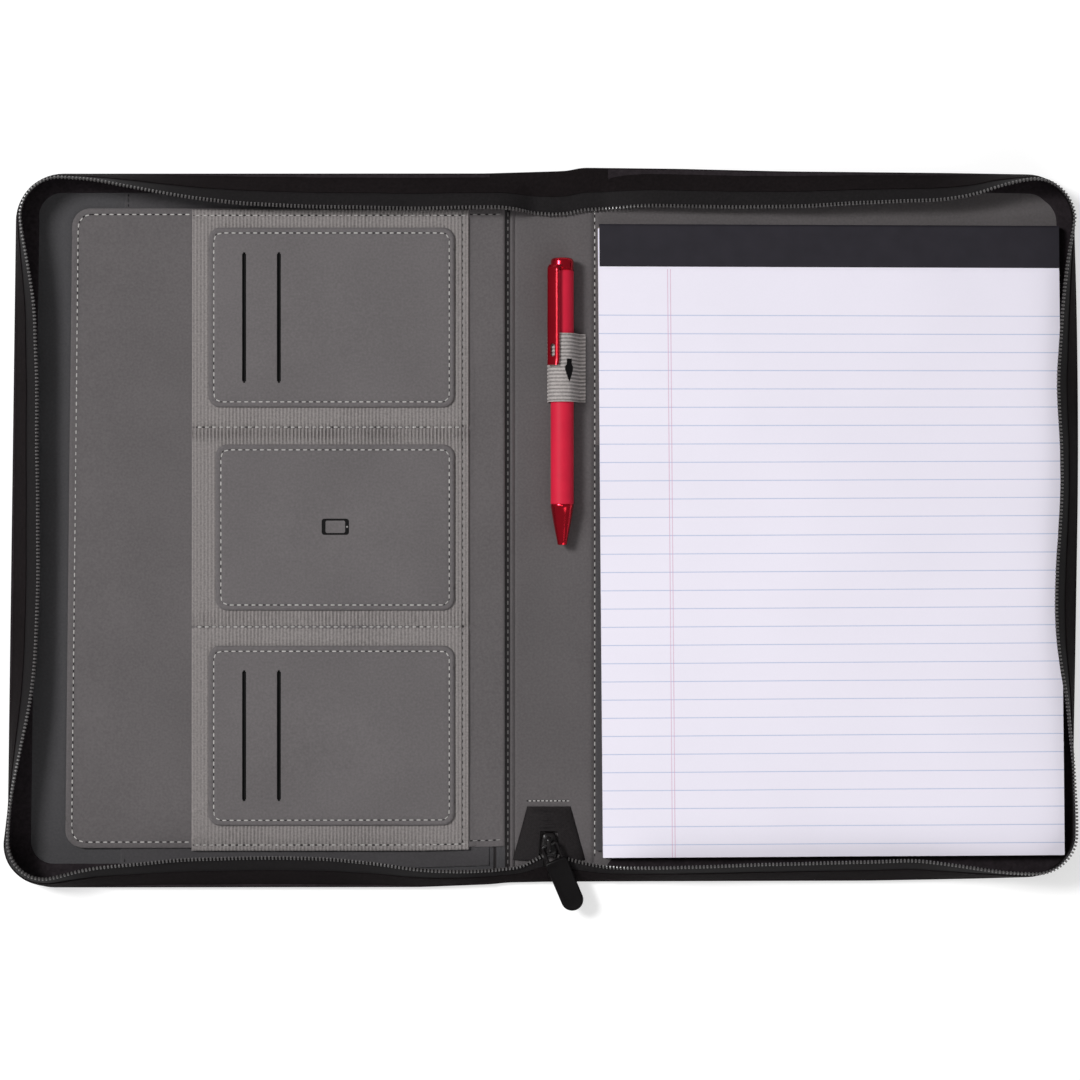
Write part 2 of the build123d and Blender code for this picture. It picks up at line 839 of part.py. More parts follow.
with BuildSketch() as sleeve_face:
    with Locations((-fore_edge + sleeve_mouth_setback, 0)):
        Rectangle(
            fore_edge - sleeve_mouth_setback + pocket_right,
            case_height - 2 * sleeve_end_margin,
            align=(Align.MIN, Align.CENTER),
        )
keep(flat_piece(sleeve_face.sketch, sleeve_base, sleeve_sheet), "rear_sleeve")

with BuildSketch() as pocket_face:
    with Locations((-fore_edge + pocket_mouth_setback, 0)):
        Rectangle(
            fore_edge - pocket_mouth_setback + pocket_right, pocket_height, align=(Align.MIN, Align.CENTER)
        )
    fillet(pocket_face.vertices().group_by(Axis.X)[0], pocket_corner)
keep(flat_piece(pocket_face.sketch, pocket_base, pocket_sheet), "document_pocket")

elastic_right = -hinge_x - elastic_fold_setback
elastic_left = elastic_right - elastic_width
with BuildSketch() as elastic_face:
    with Locations((elastic_left, 0)):
        Rectangle(elastic_width, pocket_height, align=(Align.MIN, Align.CENTER))
keep(flat_piece(elastic_face.sketch, elastic_base, elastic_sheet), "ribbed_elastic_panel")

patch_width = elastic_width - 2 * patch_side_margin
patch_room = pocket_height - 2 * patch_end_margin - 2 * patch_gap - phone_patch_height
card_patch_height = patch_room / 2
card_patch_y = phone_patch_height / 2 + patch_gap + card_patch_height / 2
patch_x = (elastic_left + elastic_right) / 2


def card_patch(y):
    """Padded patch with two slits that take cards."""
    with BuildSketch(mode=Mode.PRIVATE) as face:
        with Locations((patch_x, y)):
            RectangleRounded(patch_width, card_patch_height, patch_corner)
        slit_x = patch_x - patch_width / 2 + card_slit_first
        with Locations((slit_x, y), (slit_x + card_slit_step, y)):
            Rectangle(card_slit_width, card_slit_length, mode=Mode.SUBTRACT)
    return flat_piece(face.sketch, patch_base, patch_sheet)


keep(card_patch(card_patch_y), "upper_card_patch")
keep(card_patch(-card_patch_y), "lower_card_patch")

with BuildSketch() as phone_face:
    with Locations((patch_x, 0)):
        RectangleRounded(patch_width, phone_patch_height, patch_corner)
keep(flat_piece(phone_face.sketch, patch_base, patch_sheet), "phone_patch")
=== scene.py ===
"""Dresses the zippered padfolio: cloth, zip, organiser, writing pad and pen, seen from above.

Sizes are in millimetres in the CAD's frame: +X towards the pad, +Y towards the head, +Z up.
"""

import json
from math import cos, exp, hypot, pi, radians, sin, sqrt

import bmesh
import bpy
import numpy as np
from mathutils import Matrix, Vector, noise


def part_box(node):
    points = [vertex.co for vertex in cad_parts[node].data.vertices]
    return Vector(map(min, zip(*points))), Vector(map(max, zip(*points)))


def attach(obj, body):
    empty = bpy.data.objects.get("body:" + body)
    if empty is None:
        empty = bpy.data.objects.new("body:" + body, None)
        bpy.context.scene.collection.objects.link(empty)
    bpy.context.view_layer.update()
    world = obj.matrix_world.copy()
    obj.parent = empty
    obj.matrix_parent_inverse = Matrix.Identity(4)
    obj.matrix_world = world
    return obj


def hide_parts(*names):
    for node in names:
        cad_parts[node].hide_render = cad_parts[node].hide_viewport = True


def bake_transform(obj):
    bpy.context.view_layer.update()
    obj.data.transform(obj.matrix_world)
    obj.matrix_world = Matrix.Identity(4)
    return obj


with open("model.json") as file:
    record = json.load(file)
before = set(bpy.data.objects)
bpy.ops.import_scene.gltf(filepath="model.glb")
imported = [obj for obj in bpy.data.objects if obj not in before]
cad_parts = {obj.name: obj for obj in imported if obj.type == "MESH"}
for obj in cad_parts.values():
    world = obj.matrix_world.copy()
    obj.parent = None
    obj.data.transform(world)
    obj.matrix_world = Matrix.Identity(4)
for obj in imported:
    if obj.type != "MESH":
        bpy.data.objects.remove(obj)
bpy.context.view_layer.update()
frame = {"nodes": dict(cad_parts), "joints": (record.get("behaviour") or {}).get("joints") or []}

MM = 0.001
WELD = 0.002
UP = Vector((0, 0, 1))
SIDES = {1: "right", -1: "left"}


def box_mm(node):
    """Lowest and highest corner of a CAD node."""
    return [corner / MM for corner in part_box(node)]


def joint_mm(name):
    """Place of a joint of the record."""
    return Vector(next(j for j in frame["joints"] if j["name"] == name)["pos_m"]) / MM


# Sizes read from the frame
fore_edge, half_height, deck = box_mm("right_cover_skin")[1]
board_low, board_high = box_mm("right_cover_board")
fold_x = joint_mm("spine_fold").x
rim = fore_edge - box_mm("right_cover_lining")[1].x

# Sizes of the case that the photograph gives, with its edges' drift as (place, amount) stops
corner_radius = 22.0
corner_x, corner_y = fore_edge - corner_radius, half_height - corner_radius
case_corner = Vector((fore_edge, half_height, 0))
fold_reach = 4
slack_start = 150
head_rise = [
    (-250, 0.9), (-30, 1.0), (0, 1.9), (9, 2.2), (15, 3.7), (60, 3.2), (110, 2.0), (190, 1.2), (250, 0.2),
]
foot_rise = [
    (-250, -1.4), (-60, -1.2), (-27, 0.1), (-20, 0.9), (0, 1.3), (40, 1.5), (150, 1.8), (200, 2.7),
    (250, 4.0),
]
right_draw = [(-150, 2.8), (-110, 2.8), (-60, 1.9), (20, 0.6), (60, 0.6), (110, 1.3), (150, 2.6)]
left_flare, left_draw = 0.0135, 3.2


# Shapes
def smooth(t):
    """Eased step from 0 to 1."""
    t = min(max(t, 0.0), 1.0)
    return t * t * (3 - 2 * t)


def hump(off, width):
    """Rounded hump that is 1 at no offset."""
    return exp(-((off / width) ** 2))


def flow(stops, at, window):
    """Value on a line through (place, value) stops, rounded off over a window."""
    places, values = zip(*stops)
    return float(np.mean(np.interp(np.linspace(at - window, at + window, 9), places, values)))


def spaced(start, end, count):
    """Even places from the start to the end."""
    return [start + (end - start) * i / count for i in range(count + 1)]


def turns(sides):
    """Even angles round a circle."""
    return [2 * pi * k / sides for k in range(sides)]


def mirrored(shares):
    """Shares of a half width on both sides of the middle."""
    return [-share for share in reversed(shares)] + [0] + shares


def ruffle(x, y, size, seed):
    """Unevenness of cloth, from -1 to 1, in bumps of about the size."""
    return noise.noise(Vector((x / size, y / size, seed)))


def bullnose(depth, radius):
    """Drop of a rounded edge at a depth inside it."""
    return 0.0 if depth >= radius else radius - sqrt(radius**2 - (radius - max(depth, 0)) ** 2)


def panel_depth(low, high, radius, x, y):
    """Depth of a point inside a panel with rounded corners."""
    dx = min(x - low.x, high.x - x)
    dy = min(y - low.y, high.y - y)
    if dx < radius and dy < radius:
        return radius - hypot(radius - dx, radius - dy)
    return min(dx, dy)


def on_case(x, y, z):
    """Point of the soft case, whose edges aren't quite straight."""
    out = smooth((abs(x) - slack_start) / (fore_edge - slack_start))
    rise = flow(head_rise if y > 0 else foot_rise, x, 3)
    shift = -flow(right_draw, y, 20) if x > 0 else left_flare * y - left_draw
    return Vector((x + shift * out, y + rise * (abs(y) / half_height) ** 4, z))


def added(name, data):
    """New object in the scene."""
    made = bpy.data.objects.new(name, data)
    bpy.context.scene.collection.objects.link(made)
    return made


def build(name, points, faces, materials, paint=None, crease=40):
    """Smooth mesh, whose faces a paint function shares out between its materials."""
    bm = bmesh.new()
    verts = [bm.verts.new(Vector(p) * MM) for p in points]
    for face in faces:
        made = bm.faces.new([verts[i] for i in face])
        if paint:
            made.material_index = paint(made.calc_center_median() / MM)
    bmesh.ops.remove_doubles(bm, verts=bm.verts, dist=WELD * MM)
    bmesh.ops.recalc_face_normals(bm, faces=bm.faces)
    mesh = bpy.data.meshes.new(name)
    bm.to_mesh(mesh)
    bm.free()
    for material in materials:
        mesh.materials.append(material)
    mesh.shade_smooth()
    mesh.set_sharp_from_angle(angle=radians(crease))
    return added(name, mesh)


def flatten(grid):
    """Points of a grid in one list."""
    return [p for row in grid for p in row]


def grid_faces(rows, cols, closed=False):
    """Faces of a grid of points, open or closed round its columns."""
    faces = []
    for start in range(0, (rows - 1) * cols, cols):
        for j in range(cols if closed else cols - 1):
            after = (j + 1) % cols
            faces.append((start + j, start + cols + j, start + cols + after, start + after))
    return faces


def shell(name, top, bottom, materials, paint=None, crease=40, open_at=None, plan=None):
    """Closed sheet between two grids, without the cells where its plan is open."""
    cells = grid_faces(len(top), len(top[0]))
    if open_at:
        spots = flatten(plan or top)
        cells = [c for c in cells if not open_at(sum((spots[i] for i in c), Vector()) / 4)]
    border = {}
    for cell in cells:
        for pair in zip(cell, cell[1:] + cell[:1]):
            border[frozenset(pair)] = None if frozenset(pair) in border else pair
    points = flatten(top) + flatten(bottom)
    size = len(points) // 2
    faces = cells + [tuple(size + i for i in cell) for cell in cells]
    faces += [(a, b, size + b, size + a) for a, b in filter(None, border.values())]
    return build(name, points, faces, materials, paint, crease)


def tube(rings, capped=True):
    """Points and faces through rings, capped or with the last ring joined to the first."""
    sides = len(rings[0])
    last = (len(rings) - 1) * sides
    faces = grid_faces(len(rings), sides, True)
    if capped:
        faces += [tuple(range(sides)), tuple(range(last, last + sides))]
    else:
        faces += [(last + k, last + (k + 1) % sides, (k + 1) % sides, k) for k in range(sides)]
    return flatten(rings), faces


def gather(parts):
    """Points and faces of many parts as one."""
    points, faces = [], []
    for part_points, part_faces in parts:
        faces += [tuple(len(points) + i for i in face) for face in part_faces]
        points += part_points
    return points, faces


def carried(piece, body, slot, *nodes):
    """Piece that rides on a body and stands for CAD nodes."""
    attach(piece, body)
    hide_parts(*nodes)
    return piece


def folded(piece, side, slot, *nodes):
    """Piece laid over the fold between the spine and a cover, with its transform baked in and the CAD nodes
    it stands for hidden.
    """
    start, end = ((side * (fold_x + reach) * MM, 0, 0) for reach in (-fold_reach, fold_reach))
    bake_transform(piece)
    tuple(start)
    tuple(end)
    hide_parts(*nodes)
    return piece


# Materials
def srgb(*levels):
    """Linear colour of 8-bit sRGB levels."""
    shares = [level / 255 for level in levels]
    return (*(s / 12.92 if s <= 0.04045 else ((s + 0.055) / 1.055) ** 2.4 for s in shares), 1.0)


class Finish:
    """Principled material fed by patterns in the frame's own coordinates."""

    def __init__(self, name, **sockets):
        self.material = bpy.data.materials.new(name)
        self.material.use_nodes = True
        self.tree = self.material.node_tree
        self.shader = self.tree.nodes["Principled BSDF"].inputs
        for socket, value in sockets.items():
            self.shader[socket.replace("_", " ")].default_value = value
        self.coords = self.add("ShaderNodeTexCoord").outputs["Object"]
        self.axes = dict(zip("xyz", self.add("ShaderNodeSeparateXYZ", {0: self.coords}).outputs))

    def feed(self, socket, value):
        """Set a socket, or link it where the value comes from a node."""
        if isinstance(value, bpy.types.NodeSocket):
            self.tree.links.new(value, socket)
        else:
            socket.default_value = value

    def add(self, kind, inputs=(), **settings):
        """New node with its settings made and its inputs fed."""
        node = self.tree.nodes.new(kind)
        for key, value in settings.items():
            setattr(node, key, value)
        for key, value in dict(inputs).items():
            self.feed(node.inputs[key], value)
        return node

    def math(self, operation, *values):
        """Value worked out from up to three values."""
        return self.add("ShaderNodeMath", dict(enumerate(values)), operation=operation).outputs[0]

    def plus(self, value, share, base):
        """Share of a value on top of a base."""
        return self.math("MULTIPLY_ADD", value, share, base)

    def wave(self, axis, pitch, phase=0.0):
        """Ripples across an axis, from -1 to 1, with a crest at the phase."""
        off = self.math("SUBTRACT", self.axes[axis], phase * MM)
        return self.math("COSINE", self.math("MULTIPLY", off, 2 * pi / (pitch * MM)))

    def twill(self, pitch):
        """Ripples on the slant, from -1 to 1."""
        slant = self.math("ADD", self.axes["x"], self.axes["y"])
        return self.math("SINE", self.math("MULTIPLY", slant, 2 * pi / (pitch * MM)))

    def cloud(self, size, detail=3.0):
        """Soft noise, from 0 to 1, in spots of about the size."""
        inputs = {"Vector": self.coords, "Scale": 1 / (size * MM), "Detail": detail}
        return self.add("ShaderNodeTexNoise", inputs).outputs["Fac"]

    def tint(self, factor, colour, *stops):
        """Shades of a colour along a factor, from (place, share) stops."""
        ramp = self.add("ShaderNodeValToRGB", {"Fac": factor})
        marks = ramp.color_ramp.elements
        for place, _ in stops[1:-1]:
            marks.new(place)
        for mark, (place, share) in zip(marks, stops):
            mark.position = place
            mark.color = (*(min(c * share, 1.0) for c in colour[:3]), 1.0)
        return ramp.outputs["Color"]

    def mix(self, factor, a, b):
        """Colour between two colours."""
        return self.add("ShaderNodeMix", {0: factor, 6: a, 7: b}, data_type="RGBA").outputs[2]

    def span(self, value, low, high):
        """Value from 0 to 1 stretched between two limits."""
        return self.add("ShaderNodeMapRange", {"Value": value, 3: low, 4: high}).outputs[0]

    def wear(self, colour, roughness, height, depth):
        """Material with its shader fed and a bump of the depth."""
        bump = self.add("ShaderNodeBump", {"Height": height, "Strength": 1.0, "Distance": depth * MM})
        fed = {"Base Color": colour, "Roughness": roughness, "Normal": bump.outputs[0]}
        for socket, value in fed.items():
            self.feed(self.shader[socket], value)
        return self.material


def woven(name, colour, thread=0.5, contrast=0.16, sheen=0.1, depth=0.06, shine=0.2):
    """Plain-weave cloth with uneven threads and faint mottling."""
    cloth = Finish(name, Sheen_Weight=sheen, Sheen_Roughness=0.5, Specular_IOR_Level=shine)
    weave = cloth.math("MULTIPLY", cloth.wave("x", thread), cloth.wave("y", thread * 1.1))
    slub = cloth.plus(weave, 0.12, cloth.cloud(thread * 2.2, 4.0))
    mottle = cloth.plus(slub, 0.65, cloth.math("MULTIPLY", cloth.cloud(35.0), 0.35))
    base = cloth.tint(mottle, colour, (0.3, 1 - contrast), (0.7, 1 + contrast))
    return cloth.wear(base, cloth.span(slub, 0.78, 0.95), cloth.plus(slub, 1.2, weave), depth)


def ribbed(name, colour, axis, pitch, phase, contrast):
    """Elastic whose colour follows the ribs of its mesh: painted shade in the troughs and painted highlight
    on the crests.
    """
    band = Finish(name, Sheen_Weight=0.2, Sheen_Roughness=0.4, Specular_IOR_Level=0.25)
    fuzz = band.cloud(0.9, 4.0)
    # Painted shade and highlight: the tone rises on the ribs' crests and falls in their troughs.
    tone = band.plus(band.wave(axis, pitch, phase), contrast, fuzz)
    base = band.tint(tone, colour, (0.2, 0.6), (0.55, 1.0), (0.85, 1.25))
    height = band.plus(band.wave("y" if axis == "x" else "x", 0.55), 0.3, fuzz)
    return band.wear(base, band.span(fuzz, 0.7, 0.92), height, 0.05)


def zip_cloth(name, colour):
    """Zip tape with a close herringbone."""
    tape = Finish(name, Sheen_Weight=0.02, Specular_IOR_Level=0.12)
    fuzz = tape.cloud(1.0, 4.0)
    tone = tape.plus(tape.twill(0.9), 0.14, fuzz)
    return tape.wear(tape.tint(tone, colour, (0.3, 0.7), (0.75, 1.5)), tape.span(fuzz, 0.6, 0.85), tone, 0.08)


def moulded(name, colour, roughness, metallic=0.0, grain=0.6, depth=0.01, coat=0.0, spread=0.12, shine=0.5):
    """Plastic, lacquer or metal with a fine grain and faint handling marks."""
    skin = Finish(name, Metallic=metallic, Coat_Weight=coat, Coat_Roughness=0.15, Specular_IOR_Level=shine)
    marks = skin.cloud(9.0, 5.0)
    base = skin.tint(marks, colour, (0.35, 1 - spread), (0.7, 1 + spread))
    return skin.wear(base, skin.span(marks, roughness * 0.8, roughness * 1.25), skin.cloud(grain, 4.0), depth)


def thread_finish(name, colour):
    """Sewing thread with a tight twist."""
    yarn = Finish(name, Sheen_Weight=0.2)
    twist = yarn.twill(0.45)
    tone = yarn.plus(twist, 0.2, yarn.cloud(6.0))
    return yarn.wear(yarn.tint(tone, colour, (0.2, 0.75), (0.8, 1.15)), 0.7, twist, 0.04)


def page_edges(name, colour):
    """Cut edges of a block of sheets."""
    block = Finish(name, Specular_IOR_Level=0.2)
    leaves = block.wave("z", 0.36)
    tone = block.plus(leaves, 0.3, block.cloud(3.0))
    return block.wear(block.tint(tone, colour, (0.2, 0.72), (0.75, 1.0)), 0.9, leaves, 0.05)


# Ruling of the writing pad
first_rule, rule_pitch, rule_width = 100.86, 8.567, 0.42
margin_lines, margin_width = (55.4, 56.7), 0.38
rule_ink, margin_ink = srgb(170, 182, 214), srgb(210, 168, 194)


def ruled(sheet, page, fibre):
    """Colour of a page with pale rules and a double margin, broken up by its fibre."""
    place = sheet.add("ShaderNodeAttribute", attribute_name="page").outputs["Vector"]
    across, along, _ = sheet.add("ShaderNodeSeparateXYZ", {0: place}).outputs
    steps = sheet.math("DIVIDE", sheet.math("SUBTRACT", first_rule * MM, along), rule_pitch * MM)
    on_rule = sheet.math("COMPARE", steps, sheet.math("ROUND", steps), rule_width / rule_pitch / 2)
    marks = [(sheet.math("MULTIPLY", on_rule, sheet.math("GREATER_THAN", steps, -0.5)), 0.55, rule_ink)]
    for line_x in margin_lines:
        marks.append((sheet.math("COMPARE", across, line_x * MM, margin_width * MM / 2), 0.5, margin_ink))
    for mark, faint, ink in marks:
        page = sheet.mix(sheet.math("MULTIPLY", mark, sheet.span(fibre, faint, 1.0)), page, ink)
    return page


def paper_finish(name, colour, patch=60.0, low=0.97, lined=False):
    """Paper with a little fibre and tone, ruled where it is lined."""
    sheet = Finish(name, Specular_IOR_Level=0.2)
    fibre = sheet.cloud(0.7, 5.0)
    tone = sheet.plus(fibre, 0.3, sheet.math("MULTIPLY", sheet.cloud(patch), 0.7))
    page = sheet.tint(tone, colour, (0.3, low), (0.7, 1.02))
    if lined:
        page = ruled(sheet, page, fibre)
    return sheet.wear(page, sheet.span(fibre, 0.82, 0.95), fibre, 0.01)


black_weave = {"contrast": 0.35, "sheen": 0.0, "depth": 0.1, "shine": 0.06}
black_cloth = woven("black cover cloth", srgb(25, 21, 22), 0.8, **black_weave)
black_gusset = woven("black gusset cloth", srgb(26, 22, 23), 0.7, **black_weave)
# Painted light: the edge binding is lighter than the other black cloth, to stand in for light reaching the
# shaded corners by the walls.
edge_binding_painted_lighter = woven("black edge binding painted lighter", srgb(45, 40, 43), 0.7, **black_weave)
black_tape = zip_cloth("black zip tape", srgb(24, 22, 23))
tab_cloth = zip_cloth("black tail cloth", srgb(31, 28, 29))
lining_cloth = woven("grey lining", srgb(95, 91, 92))
# A darker grey that the left lining shows beyond the strip and below it.
darker_left_lining = woven("dark back lining", srgb(72, 71, 73))
pocket_cloth = woven("grey pocket cloth", srgb(99, 95, 96))
sleeve_cloth = woven("grey sleeve cloth", srgb(73, 71, 73))
patch_cloth = woven("grey patch cloth", srgb(106, 102, 103))
# Painted shade: a dark grey for the lining in the left fold's groove and along the back slot, where shade
# falls.
fold_groove_shade = woven("painted fold groove shade", srgb(40, 37, 38))
# Painted shade: near-black for the dark inside of the card slits.
slit_shade_paint = woven("painted shade in card slits", srgb(12, 11, 12))
# Painted shade: dark beads that stand for the shade inside needle holes.
needle_hole_shade = woven("painted needle hole shade", srgb(34, 32, 33))
thread = thread_finish("pale thread", srgb(196, 194, 191))
grey_thread = thread_finish("grey thread", srgb(140, 137, 136))
fold_thread = thread_finish("fold thread", srgb(104, 101, 101))
dark_thread = thread_finish("dark thread", srgb(30, 28, 29))
# Partly painted sheen: the black nylon teeth get a dark grey colour that stands in for their glints.
nylon_and_painted_sheen = moulded("black nylon teeth and painted sheen", srgb(72, 69, 69), 0.42, shine=0.8, coat=0.25)
black_metal = moulded("black lacquered metal", srgb(20, 17, 18), 0.28, shine=0.3)
black_rubber = moulded("black soft-touch grip", srgb(11, 9, 10), 0.42, grain=0.4, depth=0.02, shine=0.12)
barrel_skin = {"grain": 0.35, "depth": 0.008, "spread": 0.05, "shine": 0.15}
red_barrel = moulded("matte red barrel", srgb(206, 34, 61), 0.5, **barrel_skin)
red_metal = moulded("red anodised metal", srgb(212, 24, 46), 0.17, 0.92, depth=0.001, coat=0.2, spread=0.03)
clip_metal = moulded("red lacquered clip", srgb(158, 6, 28), 0.22, 0.7, depth=0.001, spread=0.03)
dark_plastic = moulded("dark plastic", srgb(40, 38, 40), 0.45)
brass = moulded("refill brass", srgb(190, 150, 80), 0.3, 1.0)
steel = moulded("steel wire", srgb(150, 150, 155), 0.3, 1.0)
binding_skin = {"grain": 1.2, "depth": 0.02, "spread": 0.08, "shine": 0.1}
black_binding = moulded("black binding paper", srgb(43, 41, 47), 0.6, **binding_skin)
printed_mark = moulded("printed mark", srgb(14, 13, 14), 0.6, shine=0.1)
grey_board = paper_finish("grey board", srgb(140, 134, 126))
card_stock = paper_finish("grey card", srgb(150, 142, 132))
paper = paper_finish("white paper", srgb(234, 230, 242))
leaf_paper = paper_finish("ruled paper", srgb(234, 230, 242), 70.0, 0.975, True)
paper_edges = page_edges("page edges", srgb(226, 222, 232))

# Ribs of the elastic; the last number of each finish is the strength of its painted rib shade and highlight
panel_low, panel_high = box_mm("ribbed_elastic_panel")
panel_high.x += 1.0
loop_low, loop_high = box_mm("pen_loop")
loop_high.y -= 1.0
rib_pitch, loop_rib_pitch = 1.68, 1.69
panel_elastic = ribbed("grey ribbed elastic with painted rib shade", srgb(130, 125, 124), "x", rib_pitch, panel_low.x, 0.14)
loop_elastic = ribbed("grey loop elastic with painted rib shade", srgb(168, 162, 160), "y", loop_rib_pitch, loop_low.y, 0.34)

# Sewing
# Half sizes and lift of the dark beads of painted needle-hole shade.
hole_half, hole_lift = (0.62, 0.36, 0.07), 0.04


def even_path(path, step):
    """Points along a path at even steps."""
    line = np.array([tuple(p) for p in path], float)
    along = np.concatenate([[0], np.cumsum(np.linalg.norm(np.diff(line, axis=0), axis=1))])
    at = np.linspace(0, along[-1], max(int(along[-1] / step), 1) + 1)
    return [Vector(p) for p in np.stack([np.interp(at, along, line[:, k]) for k in range(3)], axis=1)]


def bead(centre, along, across, lift, size, sides=6):
    """Rounded grain from its three half sizes: a stitch, a dark bead of painted needle-hole shade, or a
    tooth.
    """
    rings = []
    for place, share in ((-1.0, 0.35), (-0.62, 0.92), (0.62, 0.92), (1.0, 0.35)):
        middle = centre + along * (place * size[0])
        wide, high = across * (share * size[1]), lift * (share * size[2])
        rings.append([middle + wide * cos(t) + high * sin(t) for t in turns(sides)])
    return tube(rings)


def seam(name, path, material, length=1.9, pitch=3.35, width=0.62, raised=0.12):
    """Row of stitches along a path, with a dark bead of painted shade for the needle hole in each gap."""
    stops = even_path(path, pitch)
    stitches, holes = [], []
    for start, end in zip(stops, stops[1:]):
        along = (end - start).normalized()
        across = along.cross(UP).normalized()
        axes = (along, across, across.cross(along))
        centre = (start + end) / 2 + UP * raised
        stitches.append(bead(centre, *axes, (length / 2, width / 2, width * 0.4)))
        holes.append(bead(start + UP * hole_lift, *axes, hole_half))
    piece = build(name, *gather(stitches + holes), [material, needle_hole_shade])
    sewn = sum(len(faces) for _, faces in stitches)
    for index, face in enumerate(piece.data.polygons):
        face.material_index = 0 if index < sewn else 1
    return piece


# Covers and linings
fold_columns = [
    0, 4, 8, 11, 13, 14.4, 15.0, 15.4, 15.7, 16.0, 16.4, 16.9, 17.5, 18.2, 18.8, 19.3, 19.8,
    20.3, 20.7, 21.1, 21.6, 22.3, 23.3, 24.7, 25.4, 26.1, 27, 31, 35,
]
strip_foot = box_mm("document_pocket")[0].y + 0.9
strip_step = half_height - rim + strip_foot
edge_steps = [0, 0.12, 0.4, 0.85, 1.4, 2.0, 2.5, 3.2, 5, 8, 12, strip_step - 0.3, strip_step + 0.3, 20]


def panel_rows(half, steps, inner):
    """Places across a column, close together at its ends, with the inner places between."""
    return [-half + d for d in steps] + inner + [half - d for d in reversed(steps)]


def cover_columns(inset):
    """Distance from the spine's middle and half height of each column of a cover."""
    radius = corner_radius - inset
    columns = [(x, half_height - inset) for x in fold_columns + spaced(38, corner_x - 8, 24) + [corner_x]]
    for t in spaced(0, pi / 2, 14)[1:]:
        columns.append((corner_x + radius * sin(t), corner_y + radius * cos(t)))
    return columns


def cover_shell(name, side, inset, heights, materials, paint=None, start=0):
    """Closed sheet over a cover and its half of the spine, between two height functions."""
    grids = [[], []]
    for x, half in cover_columns(inset):
        if x < start:
            continue
        inner = half - edge_steps[-1]
        places = panel_rows(half, edge_steps, spaced(-inner, inner, 30)[1:-1])
        depths = [panel_depth(-case_corner, case_corner, corner_radius, x, y) - inset for y in places]
        for grid, height in zip(grids, heights):
            levels = [height(side * x, y, max(depth, 0)) for y, depth in zip(places, depths)]
            grid.append([on_case(side * x, y, z) for y, z in zip(places, levels)])
    return shell(f"{SIDES[side]}_{name}", *grids, materials, paint)


def outer_cloth(side):
    """Cover cloth, turned up round the edge and creased at the fold."""
    radius = deck / 2

    def over(x, y, depth):
        return deck - bullnose(depth, radius) - (deck - board_low.z) * smooth((depth - 2.0) / 0.8)

    def under(x, y, depth):
        return bullnose(depth, radius) + 0.55 * hump(abs(x) - fold_x, 1.3) * smooth(depth / 3)

    return cover_shell("outer_cloth", side, 0, (over, under), [black_cloth])


# Each groove beside a fold: its place, depth and width
grooves = {-1: (19.2, 0.7, 0.9), 1: (21.4, 0.6, 1.0)}
strip_rise = 1.3
piping_x, piping_groove = 17.4, 15.9
# The lining between the first two strip edges, the left fold's groove, is painted shade, and so is a band
# along the back slot below the strip.
back_slot_x, back_slot_half = 25.4, 0.7
strip_edges = (18.1, 20.5, 47.0)


def lining_height(side, x, y):
    """Top of the lining, with the sewn grooves beside the folds."""
    off = abs(x)
    place, depth, width = grooves[side]
    height = deck + 0.15 - depth * hump(off - place, width)
    height += 0.15 * ruffle(x, y, 45, 3.0) + 0.06 * ruffle(x, y, 11, 7.0)
    if side < 0:
        strip = smooth((y - strip_foot + 0.3) / 0.6)
        height += strip * strip_rise * smooth((off - 20.0) / 1.5) * (1 - smooth((off - 38) / 8))
        height -= (1 - strip) * 0.5 * hump(off - back_slot_x, back_slot_half)
        height += 0.4 * hump(off - piping_x, 0.8) - 0.7 * hump(off - piping_groove, 0.55)
    return height


def lining_patch(point):
    """Which material the left lining shows at a point: plain cloth, painted shade in the fold's groove and
    along the back slot, the strip's cloth, or the darker grey beyond.
    """
    off = -point.x
    if off > strip_edges[1] and point.y < strip_foot:
        # Painted shade along the back slot; the darker grey elsewhere below the strip.
        return 1 if abs(off - back_slot_x) < back_slot_half else 3
    return sum(off > edge for edge in strip_edges)


def lining(side):
    """Lining over the foam: plain, and on the left also painted shade in the fold's groove, the strip and the
    darker grey beyond it.
    """
    def over(x, y, depth):
        return lining_height(side, x, y) - 0.9 * (1 - smooth(depth / 2.5))

    def under(x, y, depth):
        return board_high.z + 0.1

    # The left lining's materials include painted shade for the fold's groove and the back slot.
    lining_materials = [lining_cloth, fold_groove_shade, pocket_cloth, darker_left_lining]
    return cover_shell("lining", side, rim, (over, under), lining_materials, lining_patch if side < 0 else None)


def stiff_board(side):
    """Grey board between the cover cloth and the foam."""
    levels = (lambda *_: board_high.z, lambda *_: board_low.z)
    return cover_shell("board", side, fore_edge - board_high.x, levels, [grey_board], None, board_low.x)


for side, name in SIDES.items():
    cover = f"{name}_cover"
    carried(stiff_board(side), cover, "board", f"{cover}_board")
    cloth = folded(outer_cloth(side), side, "black_cloth", f"{cover}_skin", "spine_skin")
    lined = (f"{cover}_lining", f"{cover}_foam", "spine_lining", "spine_foam")
    inside = folded(lining(side), side, "grey_lining", *lined)

# Each fold's seam: its place across, foot, head and thread
fold_seams = {-1: (-19.3, -158.5, 156.0, fold_thread), 1: (21.6, -154.0, 152.0, thread)}
for side, (x, foot, head, yarn) in fold_seams.items():
    line = [on_case(x, y, lining_height(side, x, y)) for y in spaced(foot, head, 60)]
    folded(seam(f"{SIDES[side]}_fold_seam", line, yarn), side, "grey_lining")

